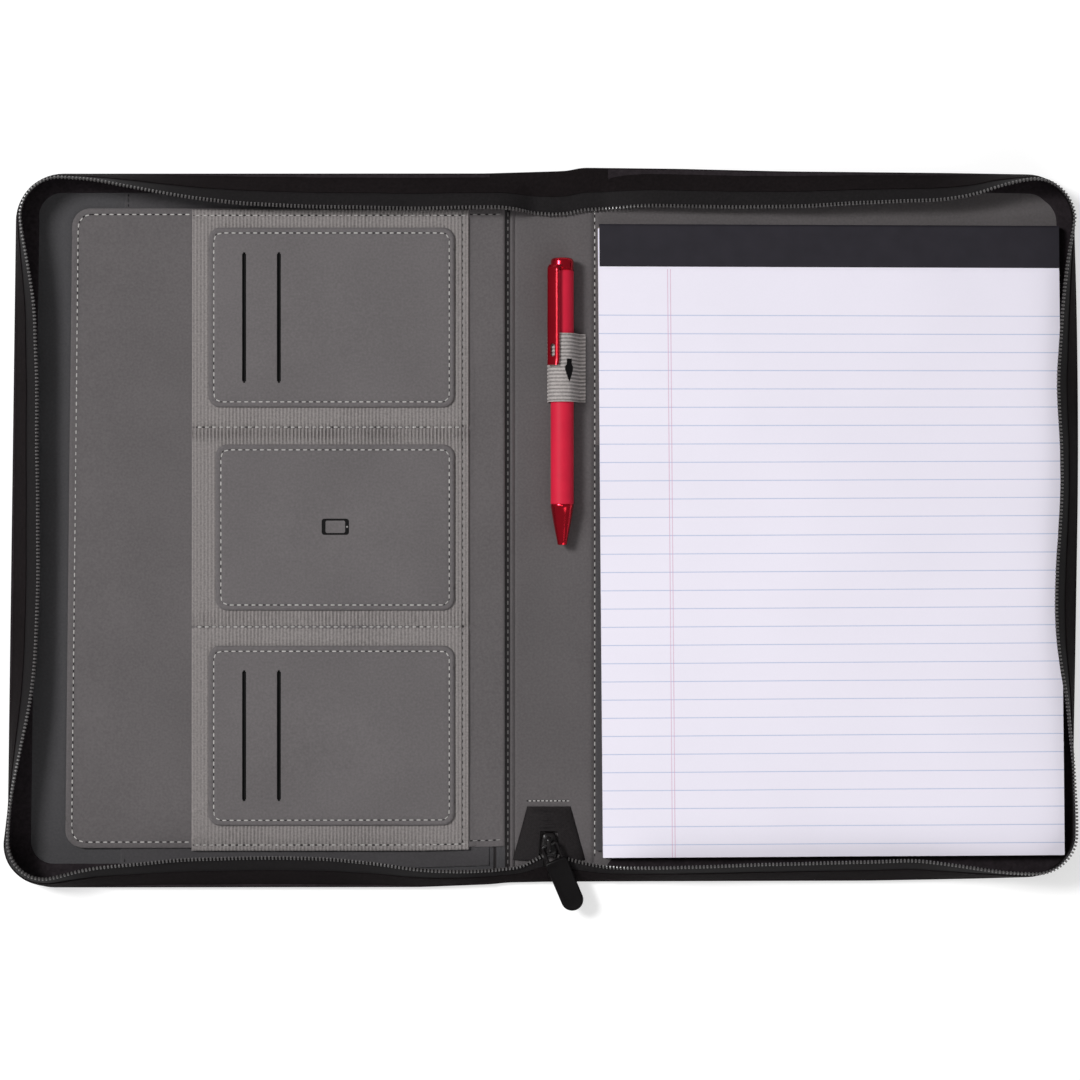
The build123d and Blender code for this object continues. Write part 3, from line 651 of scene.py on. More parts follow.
# Zip walls: how far they lean in, as (distance along the run, lean) stops
head_lean = {
    -1: [
        (0, 19.8), (8, 18.8), (12, 18.2), (20, 16.3), (33, 16.2), (61, 16.7), (89, 16.2), (116, 15.9),
        (145, 14.7), (164, 12.7), (182, 10.0), (197, 7.2), (211, 4.4), (228, 3.3),
    ],
    1: [
        (0, 19.8), (12, 19.7), (22, 18.8), (47, 17.5), (90, 17.5), (128, 16.1),
        (165, 14.2), (184, 13.6), (200, 11.2), (213, 6.6), (228, 3.4),
    ],
}
foot_lean = {
    -1: [
        (2, 12.4), (6, 10.4), (9, 8.6), (16, 6.4), (23, 6.4), (30, 6.7), (42, 7.0), (60, 8.9), (81, 12.0),
        (103, 13.8), (130, 14.6), (153, 14.2), (169, 13.7), (184, 12.4), (195, 11.5), (205, 10.6), (215, 9.0),
        (228, 4.8),
    ],
    1: [
        (2, 12.4), (6, 11.0), (10, 9.8), (18, 8.4), (26, 7.0), (37, 6.7), (60, 7.7), (120, 9.3), (155, 10.0),
        (170, 10.3), (185, 8.4), (194, 7.2), (202, 6.0), (210, 4.5), (218, 3.6), (228, 2.9),
    ],
}
fore_lean = {
    -1: [
        (-145, 3.0), (-140, 2.8), (-126, 3.9), (-116, 5.2), (-103, 7.8), (-83, 11.4), (-64, 13.4),
        (-25, 14.3), (36, 13.2), (70, 12.8), (102, 11.4), (118, 9.2), (135, 5.9), (145, 4.3),
    ],
    1: [
        (-145, 1.6), (-136, 1.3), (-110, 2.7), (-92, 5.0), (-82, 5.8), (-68, 8.0), (-54, 10.2), (-41, 11.3),
        (-27, 11.4), (-14, 11.2), (0, 10.2), (26, 9.8), (43, 10.2), (60, 11.1), (71, 11.4), (85, 10.2),
        (107, 8.8), (118, 7.4), (125, 6.3), (135, 4.4), (145, 2.0),
    ],
}
wall_height, wall_sink, foot_inset = 18.6, 0.4, 0.5
slack_corner = Vector((-246, -152, 0))
tail_z, foot_climb, foot_turn = 7.3, 70.0, 40
slider_reach = 2.6
binding_width, binding_flat_width = 10.9, 10.1
binding_shares = (0.12, 0.3, 0.55, 0.78)


def wall_stations(side):
    """Base, top edge and inward direction along a wall, from the slider round to the spine's head."""
    radius = corner_radius - foot_inset
    stations = []

    def stand(x, y, inward, lean, rise=None):
        base = on_case(side * x, y, deck - wall_sink)
        rise = rise or sqrt(max(wall_height**2 - lean**2, 2.0)) + wall_sink
        inward = Vector((side * inward[0], inward[1], 0))
        edge = base + inward * (lean + 0.25 * ruffle(base.x, base.y, 22, 1.5)) + UP * rise
        stations.append((base, edge, inward))

    def bend(end, lean, angles):
        first, last = flow(lean[side], corner_x, 8), flow(fore_lean[side], end * corner_y, 8)
        for t in angles:
            place = corner_x + radius * sin(t), end * (corner_y + radius * cos(t))
            stand(*place, (-sin(t), -end * cos(t)), first + (last - first) * t * 2 / pi)

    for x in spaced(0.2, foot_turn, 32) + spaced(foot_turn, corner_x, 60)[1:]:
        lean = flow(foot_lean[side], x, 3 if x < foot_turn else 8)
        full = sqrt(wall_height**2 - lean**2) + deck
        top = tail_z + (full - tail_z) * smooth((x - slider_reach) / foot_climb)
        stand(x, -half_height + foot_inset, (0, 1), lean, top - deck + wall_sink)
    bend(-1, foot_lean, spaced(0, pi / 2, 22)[1:])
    for y in spaced(-corner_y, corner_y, 90)[1:]:
        stand(fore_edge - foot_inset, y, (-1, 0), flow(fore_lean[side], y, 8))
    bend(1, head_lean, spaced(pi / 2, 0, 22)[1:])
    for x in spaced(corner_x, 0, 90)[1:]:
        stand(x, half_height - foot_inset, (0, -1), flow(head_lean[side], x, 6))
    return stations


def binding_reach(base, inward):
    """Width of the binding: less along the head and the right, and little beside the spine."""
    full = binding_width - max(-2.1 * inward.y, -2.5 * inward.x, 0)
    start, run = (fold_x + 2, 8) if base.x > 0 else (3 * fold_x, 45)
    return full * (0.32 + 0.68 * smooth((abs(base.x) - start) / run))


def edge_binding(name, stations):
    """Black binding that lies on the lining along the foot of the wall, coloured lighter than the other black
    cloth as painted light for the shaded corners.
    """
    upper, lower = [], []
    for base, _, inward in stations:
        if abs(base.x) < fold_x + 6:
            continue
        width = binding_reach(base, inward)
        reach = [0.3, *(share * width for share in binding_shares), width - 0.7, width - 0.2, width]
        row = [base + inward * d for d in reach]
        drops = [bullnose(width - d, 0.5) - 0.1 * ruffle(p.x, p.y, 12, 8.0) for d, p in zip(reach, row)]
        upper.append([Vector((p.x, p.y, deck + 0.95 - drop)) for p, drop in zip(row, drops)])
        lower.append([Vector((p.x, p.y, deck - 0.3)) for p in row])
    return shell(name, upper, lower, [edge_binding_painted_lighter])


def wall_strip(name, stations, shares, sink, thick, material):
    """Strip of the wall between two shares of its height, which bellies a little."""
    outer, inner = [], []
    for base, edge, inward in stations:
        out = (edge - base).normalized().cross(inward.cross(UP)).normalized()
        out = -out if out.dot(inward) > 0 else out
        slack = 0.9 * min((edge - base).dot(inward) / 8, 1) + 2.6 * hump((base - slack_corner).xy.length, 15)
        row = []
        for share in shares:
            belly = slack * sin(pi * share) + 0.12 * ruffle(base.x + 40 * share, base.y, 9, 5.0)
            row.append(base.lerp(edge, share) + out * (belly - sink))
        outer.append(row)
        inner.append([point - out * thick for point in row])
    return shell(name, outer, inner, [material])


tooth_pitch, tooth_out = 1.7, 0.45
tooth_half = (0.5, 1.05, 0.85)


def zip_teeth(name, stations):
    """Row of black nylon teeth along the top edge of a wall, whose grey colour is partly painted sheen."""
    edges = even_path([edge for _, edge, _ in stations], tooth_pitch)
    tops = np.array([tuple(edge) for _, edge, _ in stations])
    parts = []
    for place, ahead, behind in zip(edges, edges[1:] + edges[-1:], edges[:1] + edges):
        base, edge, _ = stations[int(np.argmin(((tops - np.array(place)) ** 2).sum(axis=1)))]
        along = (ahead - behind).normalized()
        slope = (edge - base).normalized()
        slope = (slope - along * slope.dot(along)).normalized()
        parts.append(bead(place + slope * tooth_out, along, slope, along.cross(slope), tooth_half, 8))
    return build(name, *gather(parts), [nylon_and_painted_sheen])


gusset_shares = [0.0, 0.04, 0.12, 0.25, 0.4, 0.52, 0.57, 0.6]
tape_shares = [0.44, 0.52, 0.58, 0.66, 0.76, 0.86, 0.93, 0.97, 1.0]
for side, name in SIDES.items():
    stations = wall_stations(side)
    gusset = wall_strip(f"{name}_gusset", stations, gusset_shares, 0.0, 1.0, black_gusset)
    folded(gusset, side, "black_tape", f"{name}_zip_wall", "spine_head_wall", "spine_foot_wall")
    binding = carried(edge_binding(f"{name}_edge_binding", stations), f"{name}_cover", "black_tape")
    stations = [s for s in stations if s[0].y > 0 or abs(s[0].x) > slider_reach]
    tape = wall_strip(f"{name}_zip_tape", stations, tape_shares, 0.45, 0.5, black_tape)
    folded(tape, side, "black_tape", f"{name}_zip_wall")
    chain = zip_teeth(f"{name}_zip_chain", stations)
    folded(chain, side, "black_teeth", f"{name}_zip_teeth", "spine_zip_teeth")


# Panels sewn on the covers
def inner_rows(low, high, margin, count):
    """Even places across a panel from its middle, clear of its edges."""
    half = (high.y - low.y) / 2
    return spaced(-half + margin, half - margin, count)


def panel(name, box, radii, inner, steps, rows, top, base, material, open_at=None):
    """Closed sheet with rounded ends, from a base to a height function, over columns and rows."""
    (low, high), (left, right) = box, radii
    half, mid_y = (high.y - low.y) / 2, (high.y + low.y) / 2
    columns = [(low.x + left * (1 - sin(t)), half - left * (1 - cos(t))) for t in spaced(pi / 2, 0, 8)]
    columns += [(x, half) for x in inner]
    columns += [(high.x - right * (1 - sin(t)), half - right * (1 - cos(t))) for t in spaced(0, pi / 2, 8)]
    places = [[(x, mid_y + y) for y in panel_rows(reach, steps, rows)] for x, reach in columns]
    upper = [[on_case(x, y, top(x, y)) for x, y in row] for row in places]
    lower = [[on_case(x, y, base) for x, y in row] for row in places]
    plan = [[Vector((*place, 0)) for place in row] for row in places]
    return shell(name, upper, lower, [material], None, 40, open_at, plan)


def round_path(low, high, radius, inset, height):
    """Closed line round a panel, inside its edge."""
    bend = max(radius - inset, 0.8)
    left, right = low.x + inset + bend, high.x - inset - bend
    foot, head = low.y + inset + bend, high.y - inset - bend
    path = []
    for quarter, (cx, cy) in enumerate(((right, head), (left, head), (left, foot), (right, foot))):
        for turn in spaced(quarter * pi / 2, (quarter + 1) * pi / 2, 6):
            x, y = cx + bend * cos(turn), cy + bend * sin(turn)
            path.append(on_case(x, y, height(x, y)))
    return path + path[:1]


hem_steps = [0, 0.1, 0.3, 0.6, 1.0, 1.7, 2.3, 2.6, 2.9, 3.2, 3.8, 5, 8]
hem_inset = 2.9
sleeve_low, sleeve_high = box_mm("rear_sleeve")
sleeve_low.y, sleeve_high.y = sleeve_low.y + 4.5, sleeve_high.y - 4.5
pocket_low, pocket_high = box_mm("document_pocket")
pocket_low += Vector((0.8, 1.2, 0))
pocket_high.y += 0.6
pocket_radius, square_end = 8.5, 0.5


def sleeve_top(x, y):
    """Top of the sleeve on the lining."""
    depth = panel_depth(sleeve_low, sleeve_high, 0, x, y)
    return sleeve_high.z + 0.05 - bullnose(depth, 0.5) + 0.08 * ruffle(x, y, 30, 9.0)


def rear_sleeve():
    """Flat sleeve behind the document pocket."""
    box, ends = (sleeve_low, sleeve_high), (square_end, square_end)
    inner = spaced(sleeve_low.x + 2, sleeve_high.x - 2, 24)
    grid = (inner, hem_steps, inner_rows(*box, 10, 24))
    return panel("rear_sleeve_cloth", box, ends, *grid, sleeve_top, sleeve_low.z, sleeve_cloth)


def pocket_top(x, y):
    """Top of the document pocket, with a turned hem inside its edge."""
    radius = pocket_radius if x < 0.5 * (pocket_low.x + pocket_high.x) else square_end
    depth = panel_depth(pocket_low, pocket_high, radius, x, y)
    if x > pocket_high.x - 12:
        depth = min(pocket_high.y - y, y - pocket_low.y, 12)
    hem = 0.4 * (1 - smooth((depth - hem_inset) / 0.9)) - 0.32 * hump(depth - hem_inset, 0.5)
    puff = 0.5 * smooth((depth - 4) / 40) + 0.2 * ruffle(x, y, 50, 2.0)
    rise = pocket_high.z - deck - bullnose(depth, 0.7) + hem + puff
    return deck - 0.3 + (rise + 0.3) * smooth((pocket_high.x - x) / 9)


def document_pocket():
    """Large pocket with a rounded, hemmed mouth towards the fore edge."""
    box, ends = (pocket_low, pocket_high), (pocket_radius, square_end)
    inner = spaced(pocket_low.x + 14, pocket_high.x - 10, 30)
    inner += spaced(pocket_high.x - 8, pocket_high.x - 1, 5)
    grid = (inner, hem_steps, inner_rows(*box, 13, 40))
    return panel("document_pocket_cloth", box, ends, *grid, pocket_top, pocket_low.z - 0.4, pocket_cloth)


# Elastic panel: its sewn rows, and the gathers beside them with the height of their ribs and folds
divider_rows = (48.3, -45.5)
gathers = ((45.2, 0.36, 0.1), (-41.6, 0.12, 0.5))
panel_seam_x = -40.4
end_row = 147.2


def panel_top(x, y):
    """Top of the ribbed elastic, pressed down along its seams and gathered beside them."""
    crest = 0.16
    slack = 0.35 * ruffle(x, y, 60, 6.0)
    for row, pleat, fold in gathers:
        near = hump(y - row, 3.0)
        crest += near * pleat * (1 + 0.6 * ruffle(x, row, 14, 4.0))
        slack += near * fold * ruffle(x + 0.3 * (y - row), 0.2 * y, 3, 4.0)
    rib = crest * cos(2 * pi * (x - panel_low.x) / rib_pitch)
    press = sum(0.8 * hump(y - row, 0.9) for row in divider_rows)
    press += 0.3 * hump(abs(y) - end_row, 0.8) + 0.35 * hump(x - panel_seam_x, 0.7)
    return panel_high.z + rib - press + slack - bullnose(panel_depth(panel_low, panel_high, 0, x, y), 0.7)


def elastic_panel():
    """Ribbed elastic with its ribs towards the head."""
    count = int((panel_high.x - panel_low.x) / rib_pitch * 4)
    inner = spaced(panel_low.x + 0.6, panel_high.x - 0.6, count)
    rows = [y for row in divider_rows for y in spaced(row - 9, row + 9, 24)]
    rows += spaced(-138, -58, 12) + spaced(-33, 36, 10) + spaced(60, 138, 12)
    grid = (inner, [0, 0.15, 0.45, 0.9, 1.6, 2.2, 2.6, 3.0, 3.6, 5, 8], sorted(rows))
    box = (panel_low, panel_high)
    return panel("ribbed_elastic", box, (0.3, 0.3), *grid, panel_top, panel_low.z, panel_elastic)


# Padded patches on the elastic: how far each is drawn in at its left and sewn on above its node
patch_shifts = {"upper_card_patch": (1.7, 2.0), "phone_patch": (5.0, 1.2), "lower_card_patch": (1.7, 1.2)}
patch_radius, patch_inset = 5.5, 2.6
patch_steps = [0, 0.1, 0.3, 0.6, 1.0, 1.6, 2.2, 2.6, 3.0, 3.6, 5, 7.5]
slit_places = (-143.0, -126.7)
slit_half_length, slit_half_width = 30.5, 0.95
slit_end, slit_end_share = 0.7, 0.55


def patch_box(node):
    """Lowest and highest corner of a patch as it is sewn on."""
    low, high = box_mm(node)
    draw, rise = patch_shifts[node]
    return low + Vector((draw, rise, 0)), high + Vector((0.3, rise, 0))


def patch_top(low, high):
    """Height function of a patch: rolled edge, sewn line and a gentle crown."""
    def top(x, y):
        depth = panel_depth(low, high, patch_radius, x, y)
        crown = 0.45 * smooth((depth - 3) / 25) + 0.12 * ruffle(x, y, 30, 8.0)
        return high.z + 0.15 - bullnose(depth, 1.3) - 0.42 * hump(depth - patch_inset, 0.55) + crown

    return top


def in_slit(x, along):
    """Whether a place lies in a card slit, which narrows at its ends."""
    off = min(abs(x - place) for place in slit_places)
    straight = off < slit_half_width and along < slit_half_length - slit_end
    return straight or (off < slit_half_width * slit_end_share and along < slit_half_length)


def patch(node, slits):
    """Padded patch and its seam, with card slits cut through it where it has them."""
    low, high = patch_box(node)
    mid_y = (low.y + high.y) / 2
    inner = spaced(low.x + patch_radius + 1, high.x - patch_radius - 1, 26)
    rows = inner_rows(low, high, 10, 18)
    if slits:
        for place in slit_places:
            inner = [x for x in inner if abs(x - place) > 2]
            inner += [place + s * w * slit_half_width for s in (-1, 1) for w in (slit_end_share, 1.0, 1.6)]
        ends = (slit_half_length, slit_half_length - slit_end, slit_half_length + 0.6)
        rows = [y for y in rows if abs(abs(y) - slit_half_length) > 1.2]
        rows += [s * end for s in (-1, 1) for end in ends]

    def cut(point):
        return slits and in_slit(point.x, abs(point.y - mid_y))

    grid = ((patch_radius, patch_radius), sorted(inner), patch_steps, sorted(rows))
    top = patch_top(low, high)
    piece = panel(f"{node}_pad", (low, high), *grid, top, low.z, patch_cloth, cut)
    return piece, seam(f"{node}_seam", round_path(low, high, patch_radius, patch_inset, top), thread)


def slit_shade_sheet(node):
    """Near-black sheet under the slits of a patch: painted shade for the dark inside of the slits."""
    low, high = patch_box(node)
    mid_y = (low.y + high.y) / 2
    wide, long = 1.6, slit_half_length + 1.5
    corners = [(-wide, -long), (wide, -long), (wide, long), (-wide, long)]
    parts = []
    for place in slit_places:
        levels = (low.z + 0.05, low.z + 0.35)
        parts.append(tube([[on_case(place + w, mid_y + h, z) for w, h in corners] for z in levels]))
    return build(f"{node}_slit_shade_sheet", *gather(parts), [slit_shade_paint])


phone_mark_place = Vector((-100.2, 1.5, 0))
phone_button = phone_mark_place + Vector((5.5, 0, 0))


def phone_mark():
    """Printed outline of a phone lying on its side, with its button."""
    top = patch_top(*patch_box("phone_patch"))
    outer, inner = (6.4, 3.8, 1.3), (4.6, 2.9, 0.5)
    rings = []
    for (half_x, half_y, bend), lift in ((outer, -0.1), (outer, 0.06), (inner, 0.06), (inner, -0.1)):
        reach = Vector((half_x, half_y, 0))
        ends = (phone_mark_place - reach, phone_mark_place + reach)
        rings.append(round_path(*ends, bend, 0.0, lambda x, y: top(x, y) + lift)[:-1])
    x, y, _ = phone_button
    axes = (Vector((1, 0, 0)), Vector((0, 1, 0)), UP)
    button = bead(on_case(x, y, top(x, y) + 0.08), *axes, (0.45, 0.45, 0.05), 10)
    outline = build("phone_mark", *tube(rings, False), [printed_mark])
    return outline, build("phone_mark_button", *button, [grey_thread])


sleeve = carried(rear_sleeve(), "left_cover", "grey_lining", "rear_sleeve")
pocket = carried(document_pocket(), "left_cover", "grey_patch", "document_pocket")
elastic = carried(elastic_panel(), "left_cover", "grey_elastic", "ribbed_elastic_panel")
for node in patch_shifts:
    slits = node.endswith("card_patch")
    pad_piece, pad_seam = patch(node, slits)
    carried(pad_piece, "left_cover", "grey_patch", node)
    carried(pad_seam, "left_cover", "grey_patch")
    if slits:
        carried(slit_shade_sheet(node), "left_cover", "black_cloth")
for mark in phone_mark():
    carried(mark, "left_cover", "black_tape")


# Seams of the organiser
def straight_seam(name, start, end, height, material, **stitch):
    """Row of stitches between two places, on the height of what it is sewn to."""
    places = [Vector(start).lerp(Vector(end), t) for t in spaced(0, 1, 80)]
    path = [on_case(p.x, p.y, height(p.x, p.y)) for p in places]
    carried(seam(f"{name}_seam", path, material, **stitch), "left_cover", "grey_lining")


def back_top(x, y):
    """Top of the left lining."""
    return lining_height(-1, x, y)


def strip_top(x, y):
    """Top of the strip beside the elastic, where the lining comes up over the pocket's edge."""
    return max(pocket_top(x, y), back_top(x, y))


mouth_path = round_path(pocket_low, pocket_high, pocket_radius, hem_inset, pocket_top)
mouth_path = [p for p in mouth_path if p.x < pocket_low.x + 60]
carried(seam("pocket_mouth_seam", mouth_path, thread), "left_cover", "grey_patch")
mouth_x = pocket_low.x + pocket_radius
strip_seam_x = -22.0
sleeve_seam_x, sleeve_seam_y, sleeve_seam_half = -197.2, 156.5, 4.5
back_seam_x, back_seam_foot = -29.2, -159
hems = (("head", 1, pocket_high.y - hem_inset), ("foot", -1, pocket_low.y + hem_inset))
for name, side, y in hems:
    straight_seam(f"pocket_{name}", (mouth_x + 1, y), (panel_low.x - 0.5, y), pocket_top, thread)
    straight_seam(f"strip_{name}", (panel_high.x + 1, y), (strip_seam_x, y), strip_top, grey_thread)
    ends = [(x, side * end_row) for x in (panel_low.x + 1, panel_high.x - 1)]
    straight_seam(f"panel_{name}", *ends, panel_top, thread, width=0.5)
    ends = [(sleeve_seam_x, side * sleeve_seam_y + off) for off in (-sleeve_seam_half, sleeve_seam_half)]
    straight_seam(f"sleeve_{name}", *ends, sleeve_top, dark_thread)
for name, row in zip(("upper", "lower"), divider_rows):
    ends = [(x, row) for x in (panel_low.x + 2, panel_seam_x - 1)]
    straight_seam(f"{name}_divider", *ends, panel_top, thread, width=0.55, raised=0.4)
ends = [(back_seam_x, y) for y in (strip_foot - 1, back_seam_foot)]
straight_seam("back_foot", *ends, back_top, fold_thread)
ends = [(panel_seam_x, y) for y in (-146, 146)]
straight_seam("panel_side", *ends, panel_top, grey_thread, length=1.7, width=0.5)

# Writing pad
sheets_low, sheets_high = box_mm("pad_sheets")
leaf_low, leaf_high = box_mm("pad_top_sheet")
binding_low, binding_high = box_mm("pad_binding")
card_low, card_high = box_mm("pad_card")
slot_low, slot_high = box_mm("pad_slot_pocket")
slot_low.y += 4.2
pad_slant = 0.0082
page_turn = [(0.0, -0.9), (0.17, -0.2), (0.37, 1.0), (0.75, 1.5), (1.0, 1.5)]
page_sag = 0.9
page_foot = sheets_low.y + 1.4
paper_lip = 0.55
block_layers = 12


def on_pad(x, y, z):
    """Point of the pad, which lies a little askew, with its sheets turned a little."""
    across = (x - leaf_low.x) / (leaf_high.x - leaf_low.x)
    along = (leaf_high.y - y) / (leaf_high.y - leaf_low.y)
    sag = page_sag * sin(pi * min(max(along, 0), 1))
    return Vector((x + pad_slant * (sheets_high.y - y), y + across * flow(page_turn, along, 0.08) - sag, z))


def curl(x, y):
    """Lift of the paper: gentle ripples that grow towards its loose foot corners."""
    foot = smooth((sheets_high.y - y) / 300)
    right = smooth((x - sheets_low.x - 60) / 150)
    ripple = 0.45 * foot * (1 + ruffle(x, y, 70, 12.0)) + 0.25 * foot * sin(x / 19 + y / 60)
    return ripple + 1.1 * foot**3 * right


def page_block():
    """Block of sheets whose cut edges don't quite line up."""
    step = (sheets_high.z - sheets_low.z) / block_layers
    rings = []
    for layer in range(block_layers):
        shift = [0.22 * noise.noise(Vector((layer * 1.7, k * 3.1, 0.5))) for k in range(3)]
        left, right = sheets_low.x + shift[0], sheets_high.x + shift[1]
        foot, head = page_foot + shift[2] + 0.2, sheets_high.y - 1.8
        corners = [(left, foot), (right, foot), (right, head), (left, head)]
        outline = []
        for (x, y), (end_x, end_y) in zip(corners, corners[1:] + corners[:1]):
            outline += list(zip(spaced(x, end_x, 30), spaced(y, end_y, 30)))[:-1]
        for level in (layer, layer + 1):
            z = sheets_low.z + level * step
            lift = 0.8 * level / block_layers
            rings.append([on_pad(x, y, z + lift * curl(x, y)) for x, y in outline])
    middle = ((sheets_low + sheets_high) / 2).xy
    lid = [middle + (Vector(place) - middle) * 0.99 for place in outline]
    rings.append([on_pad(*place, sheets_high.z) for place in lid])

    def paint(point):
        return 1 if point.z > sheets_high.z - 0.02 else 0

    return build("pad_block", *tube(rings), [paper_edges, paper], paint, 30)


def top_leaf():
    """Loose ruled sheet on top of the pad, which keeps its flat places for its ruling."""
    column = spaced(page_foot, leaf_high.y, 90)
    upper, flat = [], []
    for x in spaced(leaf_low.x, leaf_high.x, 60):
        lift = [0.1 * smooth((leaf_high.y - y) / 15) + curl(x, y) for y in column]
        upper.append([on_pad(x, y, leaf_high.z + z) for y, z in zip(column, lift)])
        flat += [(x * MM, y * MM, 0) for y in column]
    lower = [[p - UP * 0.12 for p in row] for row in upper]
    piece = shell("pad_top_leaf", upper, lower, [leaf_paper])
    page = piece.data.attributes.new("page", "FLOAT_VECTOR", "POINT")
    page.data.foreach_set("vector", np.array(flat + flat, np.float32).ravel())
    return piece


def binding_wrap():
    """Binding tape folded over the head of the pad."""
    thick, bend = 0.45, 1.6
    middle_z = (binding_low.z + binding_high.z) / 2
    half = (binding_high.z - binding_low.z) / 2
    foot, head = binding_low.y, binding_high.y
    path = [(foot, half - 0.3), (foot + 0.3, half - 0.12)]
    path += [(y, half) for y in spaced(foot + 0.7, head - bend, 10)]
    path += [(head - bend + bend * sin(t), half - bend + bend * cos(t)) for t in spaced(0, pi / 2, 6)[1:]]
    path += [(y, -z) for y, z in reversed(path)]
    inset = [(min(y, head - thick), z - thick if z > 0 else z + thick) for y, z in path]

    def wave(x, y, z):
        return 0.1 * ruffle(x, y, 26, 14.0) * smooth((y - foot) / 4) if z > 0 else 0

    columns = spaced(binding_low.x + paper_lip, binding_high.x, 40)
    outer = [[on_pad(x, y, middle_z + z + wave(x, y, z)) for y, z in path] for x in columns]
    inner = [[on_pad(x, y, middle_z + z) for y, z in inset] for x in columns]
    return shell("pad_binding_tape", outer, inner, [black_binding])


def slot_top(x, y):
    """Top of the slot pocket."""
    return slot_high.z - bullnose(panel_depth(slot_low, slot_high, 0, x, y), 0.4)


def slot_cloth():
    """Slot pocket on the lining that holds the pad's card."""
    box = (slot_low, slot_high)
    inner = spaced(slot_low.x + 1, slot_high.x - 1, 16)
    grid = (inner, [0, 0.2, 0.6, 2, 6], inner_rows(*box, 10, 16))
    return panel("pad_slot_cloth", box, (0.3, 0.3), *grid, slot_top, slot_low.z, sleeve_cloth)


def backing_card():
    """Grey card under the sheets."""
    columns = spaced(card_low.x + 0.2, card_high.x - 0.2, 30)
    rows = spaced(page_foot + 0.4, card_high.y - 0.6, 60)
    grids = [[[on_pad(x, y, z) for y in rows] for x in columns] for z in (card_high.z, card_low.z)]
    return shell("pad_backing_card", *grids, [card_stock])


carried(backing_card(), "right_cover", "grey_card", "pad_card")
carried(page_block(), "right_cover", "white_paper", "pad_sheets")
carried(top_leaf(), "pad_leaf", "white_paper", "pad_top_sheet")
carried(binding_wrap(), "right_cover", "black_binding", "pad_binding")
slot_piece = carried(slot_cloth(), "right_cover", "grey_lining", "pad_slot_pocket")

# Pen
barrel_low, barrel_high = box_mm("pen_upper_barrel")
pen_x, _, pen_z = (barrel_low + barrel_high) / 2
pen_radius = (barrel_high.x - barrel_low.x) / 2
clip_turn = radians(35)
clip_side = Vector((cos(clip_turn), 0, sin(clip_turn)))
clip_way = Vector((-sin(clip_turn), 0, cos(clip_turn)))
clip_inner, clip_thick, clip_half = 7.0, 0.95, 3.2
window_foot, window_head, window_half = 81.0, 87.0, 1.15


def pen_point(radius, turn, y):
    """Point round the pen's axis."""
    return Vector((pen_x + radius * cos(turn), y, pen_z + radius * sin(turn)))


def lathe(name, profile, material, hollow=True):
    """Turned piece of the pen from (radius, place along it) pairs, bored through when hollow."""
    rings = [[pen_point(radius, t, y) for t in turns(72)] for radius, y in profile]
    return build(name, *tube(rings, not hollow), [material], None, 35)


def barrel_profile(foot, head):
    """Straight barrel with softened ends."""
    soft, bore = pen_radius - 0.35, pen_radius - 1.2
    shoulder = [(pen_radius, foot + 0.35), (pen_radius, head - 0.35)]
    return [(bore, foot), (soft, foot), *shoulder, (soft, head), (bore, head)]


def cap_profile():
    """Cap with a collar and a rounded top, from the drops of its radius."""
    low, high = box_mm("pen_cap")
    foot, head = low.y + 6.0, high.y
    collar = [(1.6, 0), (0.2, 0), (0, 0.2), (0, 0.8), (0.15, 0.95), (0.15, 1.15), (0, 1.3)]
    dome = [(0, -1.7), (0.25, -0.8), (0.9, -0.2), (1.8, 0)]
    drops = [(1.6, low.y)] + [(d, foot + y) for d, y in collar] + [(d, head + y) for d, y in dome]
    return [(pen_radius - drop, y) for drop, y in drops] + [(0.01, head)]


def nose_profile():
    """Nose cone with a collar, drawn in to a flat tip, from the drops of its radius."""
    low, high = box_mm("pen_nose")
    foot, head = low.y, high.y
    cone = [
        (1.6, 0), (0, 0), (-0.05, -0.3), (-0.05, -1.3), (0.15, -1.8), (0.6, -4.5), (1.25, -8.5), (2.0, -12.5),
    ]
    profile = [(pen_radius - drop, head + y) for drop, y in cone] + [(pen_radius - 2.7, foot + 3.0)]
    return profile + [(2.35, foot + 1.2), (2.25, foot + 0.4), (1.95, foot), (0.75, foot)]


def in_window(point):
    """Whether a point lies in the clip's slot, which has cut corners."""
    across = abs((point - Vector((pen_x, 0, pen_z))).dot(clip_side))
    inside = window_foot < point.y < window_head and across < window_half
    return inside and (window_foot + 0.5 < point.y < window_head - 0.5 or across <= 0.7)


def pen_clip():
    """Sprung clip: rounded across, bent down into the cap at its root, with a slot near its free end."""
    low, high = box_mm("pen_clip")
    foot, head = low.y, high.y - 1.0
    places = [head - d for d in (0, 0.4, 1.0, 1.8, 3)] + spaced(head - 5, window_head + 2, 10)
    places += [window_head + d for d in (0.8, 0, -0.5)] + spaced(window_head - 1.2, window_foot + 1.2, 4)
    places += [window_foot + d for d in (0.5, 0, -0.8)] + [foot + d for d in (1.6, 0.8, 0.3, 0)]
    shares = mirrored([0.25, 0.43, 0.62, 0.8, 0.93, 1])
    upper, lower = [], []
    for y in places:
        root = 1 - smooth((head - y) / 1.8)
        end = smooth((foot + 2.2 - y) / 2.2)
        half = clip_half * (1 - 0.06 * end)
        out = clip_inner + 0.25 - root * 1.1 + 0.35 * end
        row = [Vector((pen_x, y, pen_z)) + clip_side * (share * half) for share in shares]
        tops = [out + clip_thick - 0.15 * share**2 - 0.5 * share**8 for share in shares]
        upper.append([p + clip_way * reach for p, reach in zip(row, tops)])
        lower.append([p + clip_way * (out - 0.45 * share**2 - root * 2.2) for p, share in zip(row, shares)])
    return shell("pen_clip_spring", upper, lower, [clip_metal], None, 35, in_window)


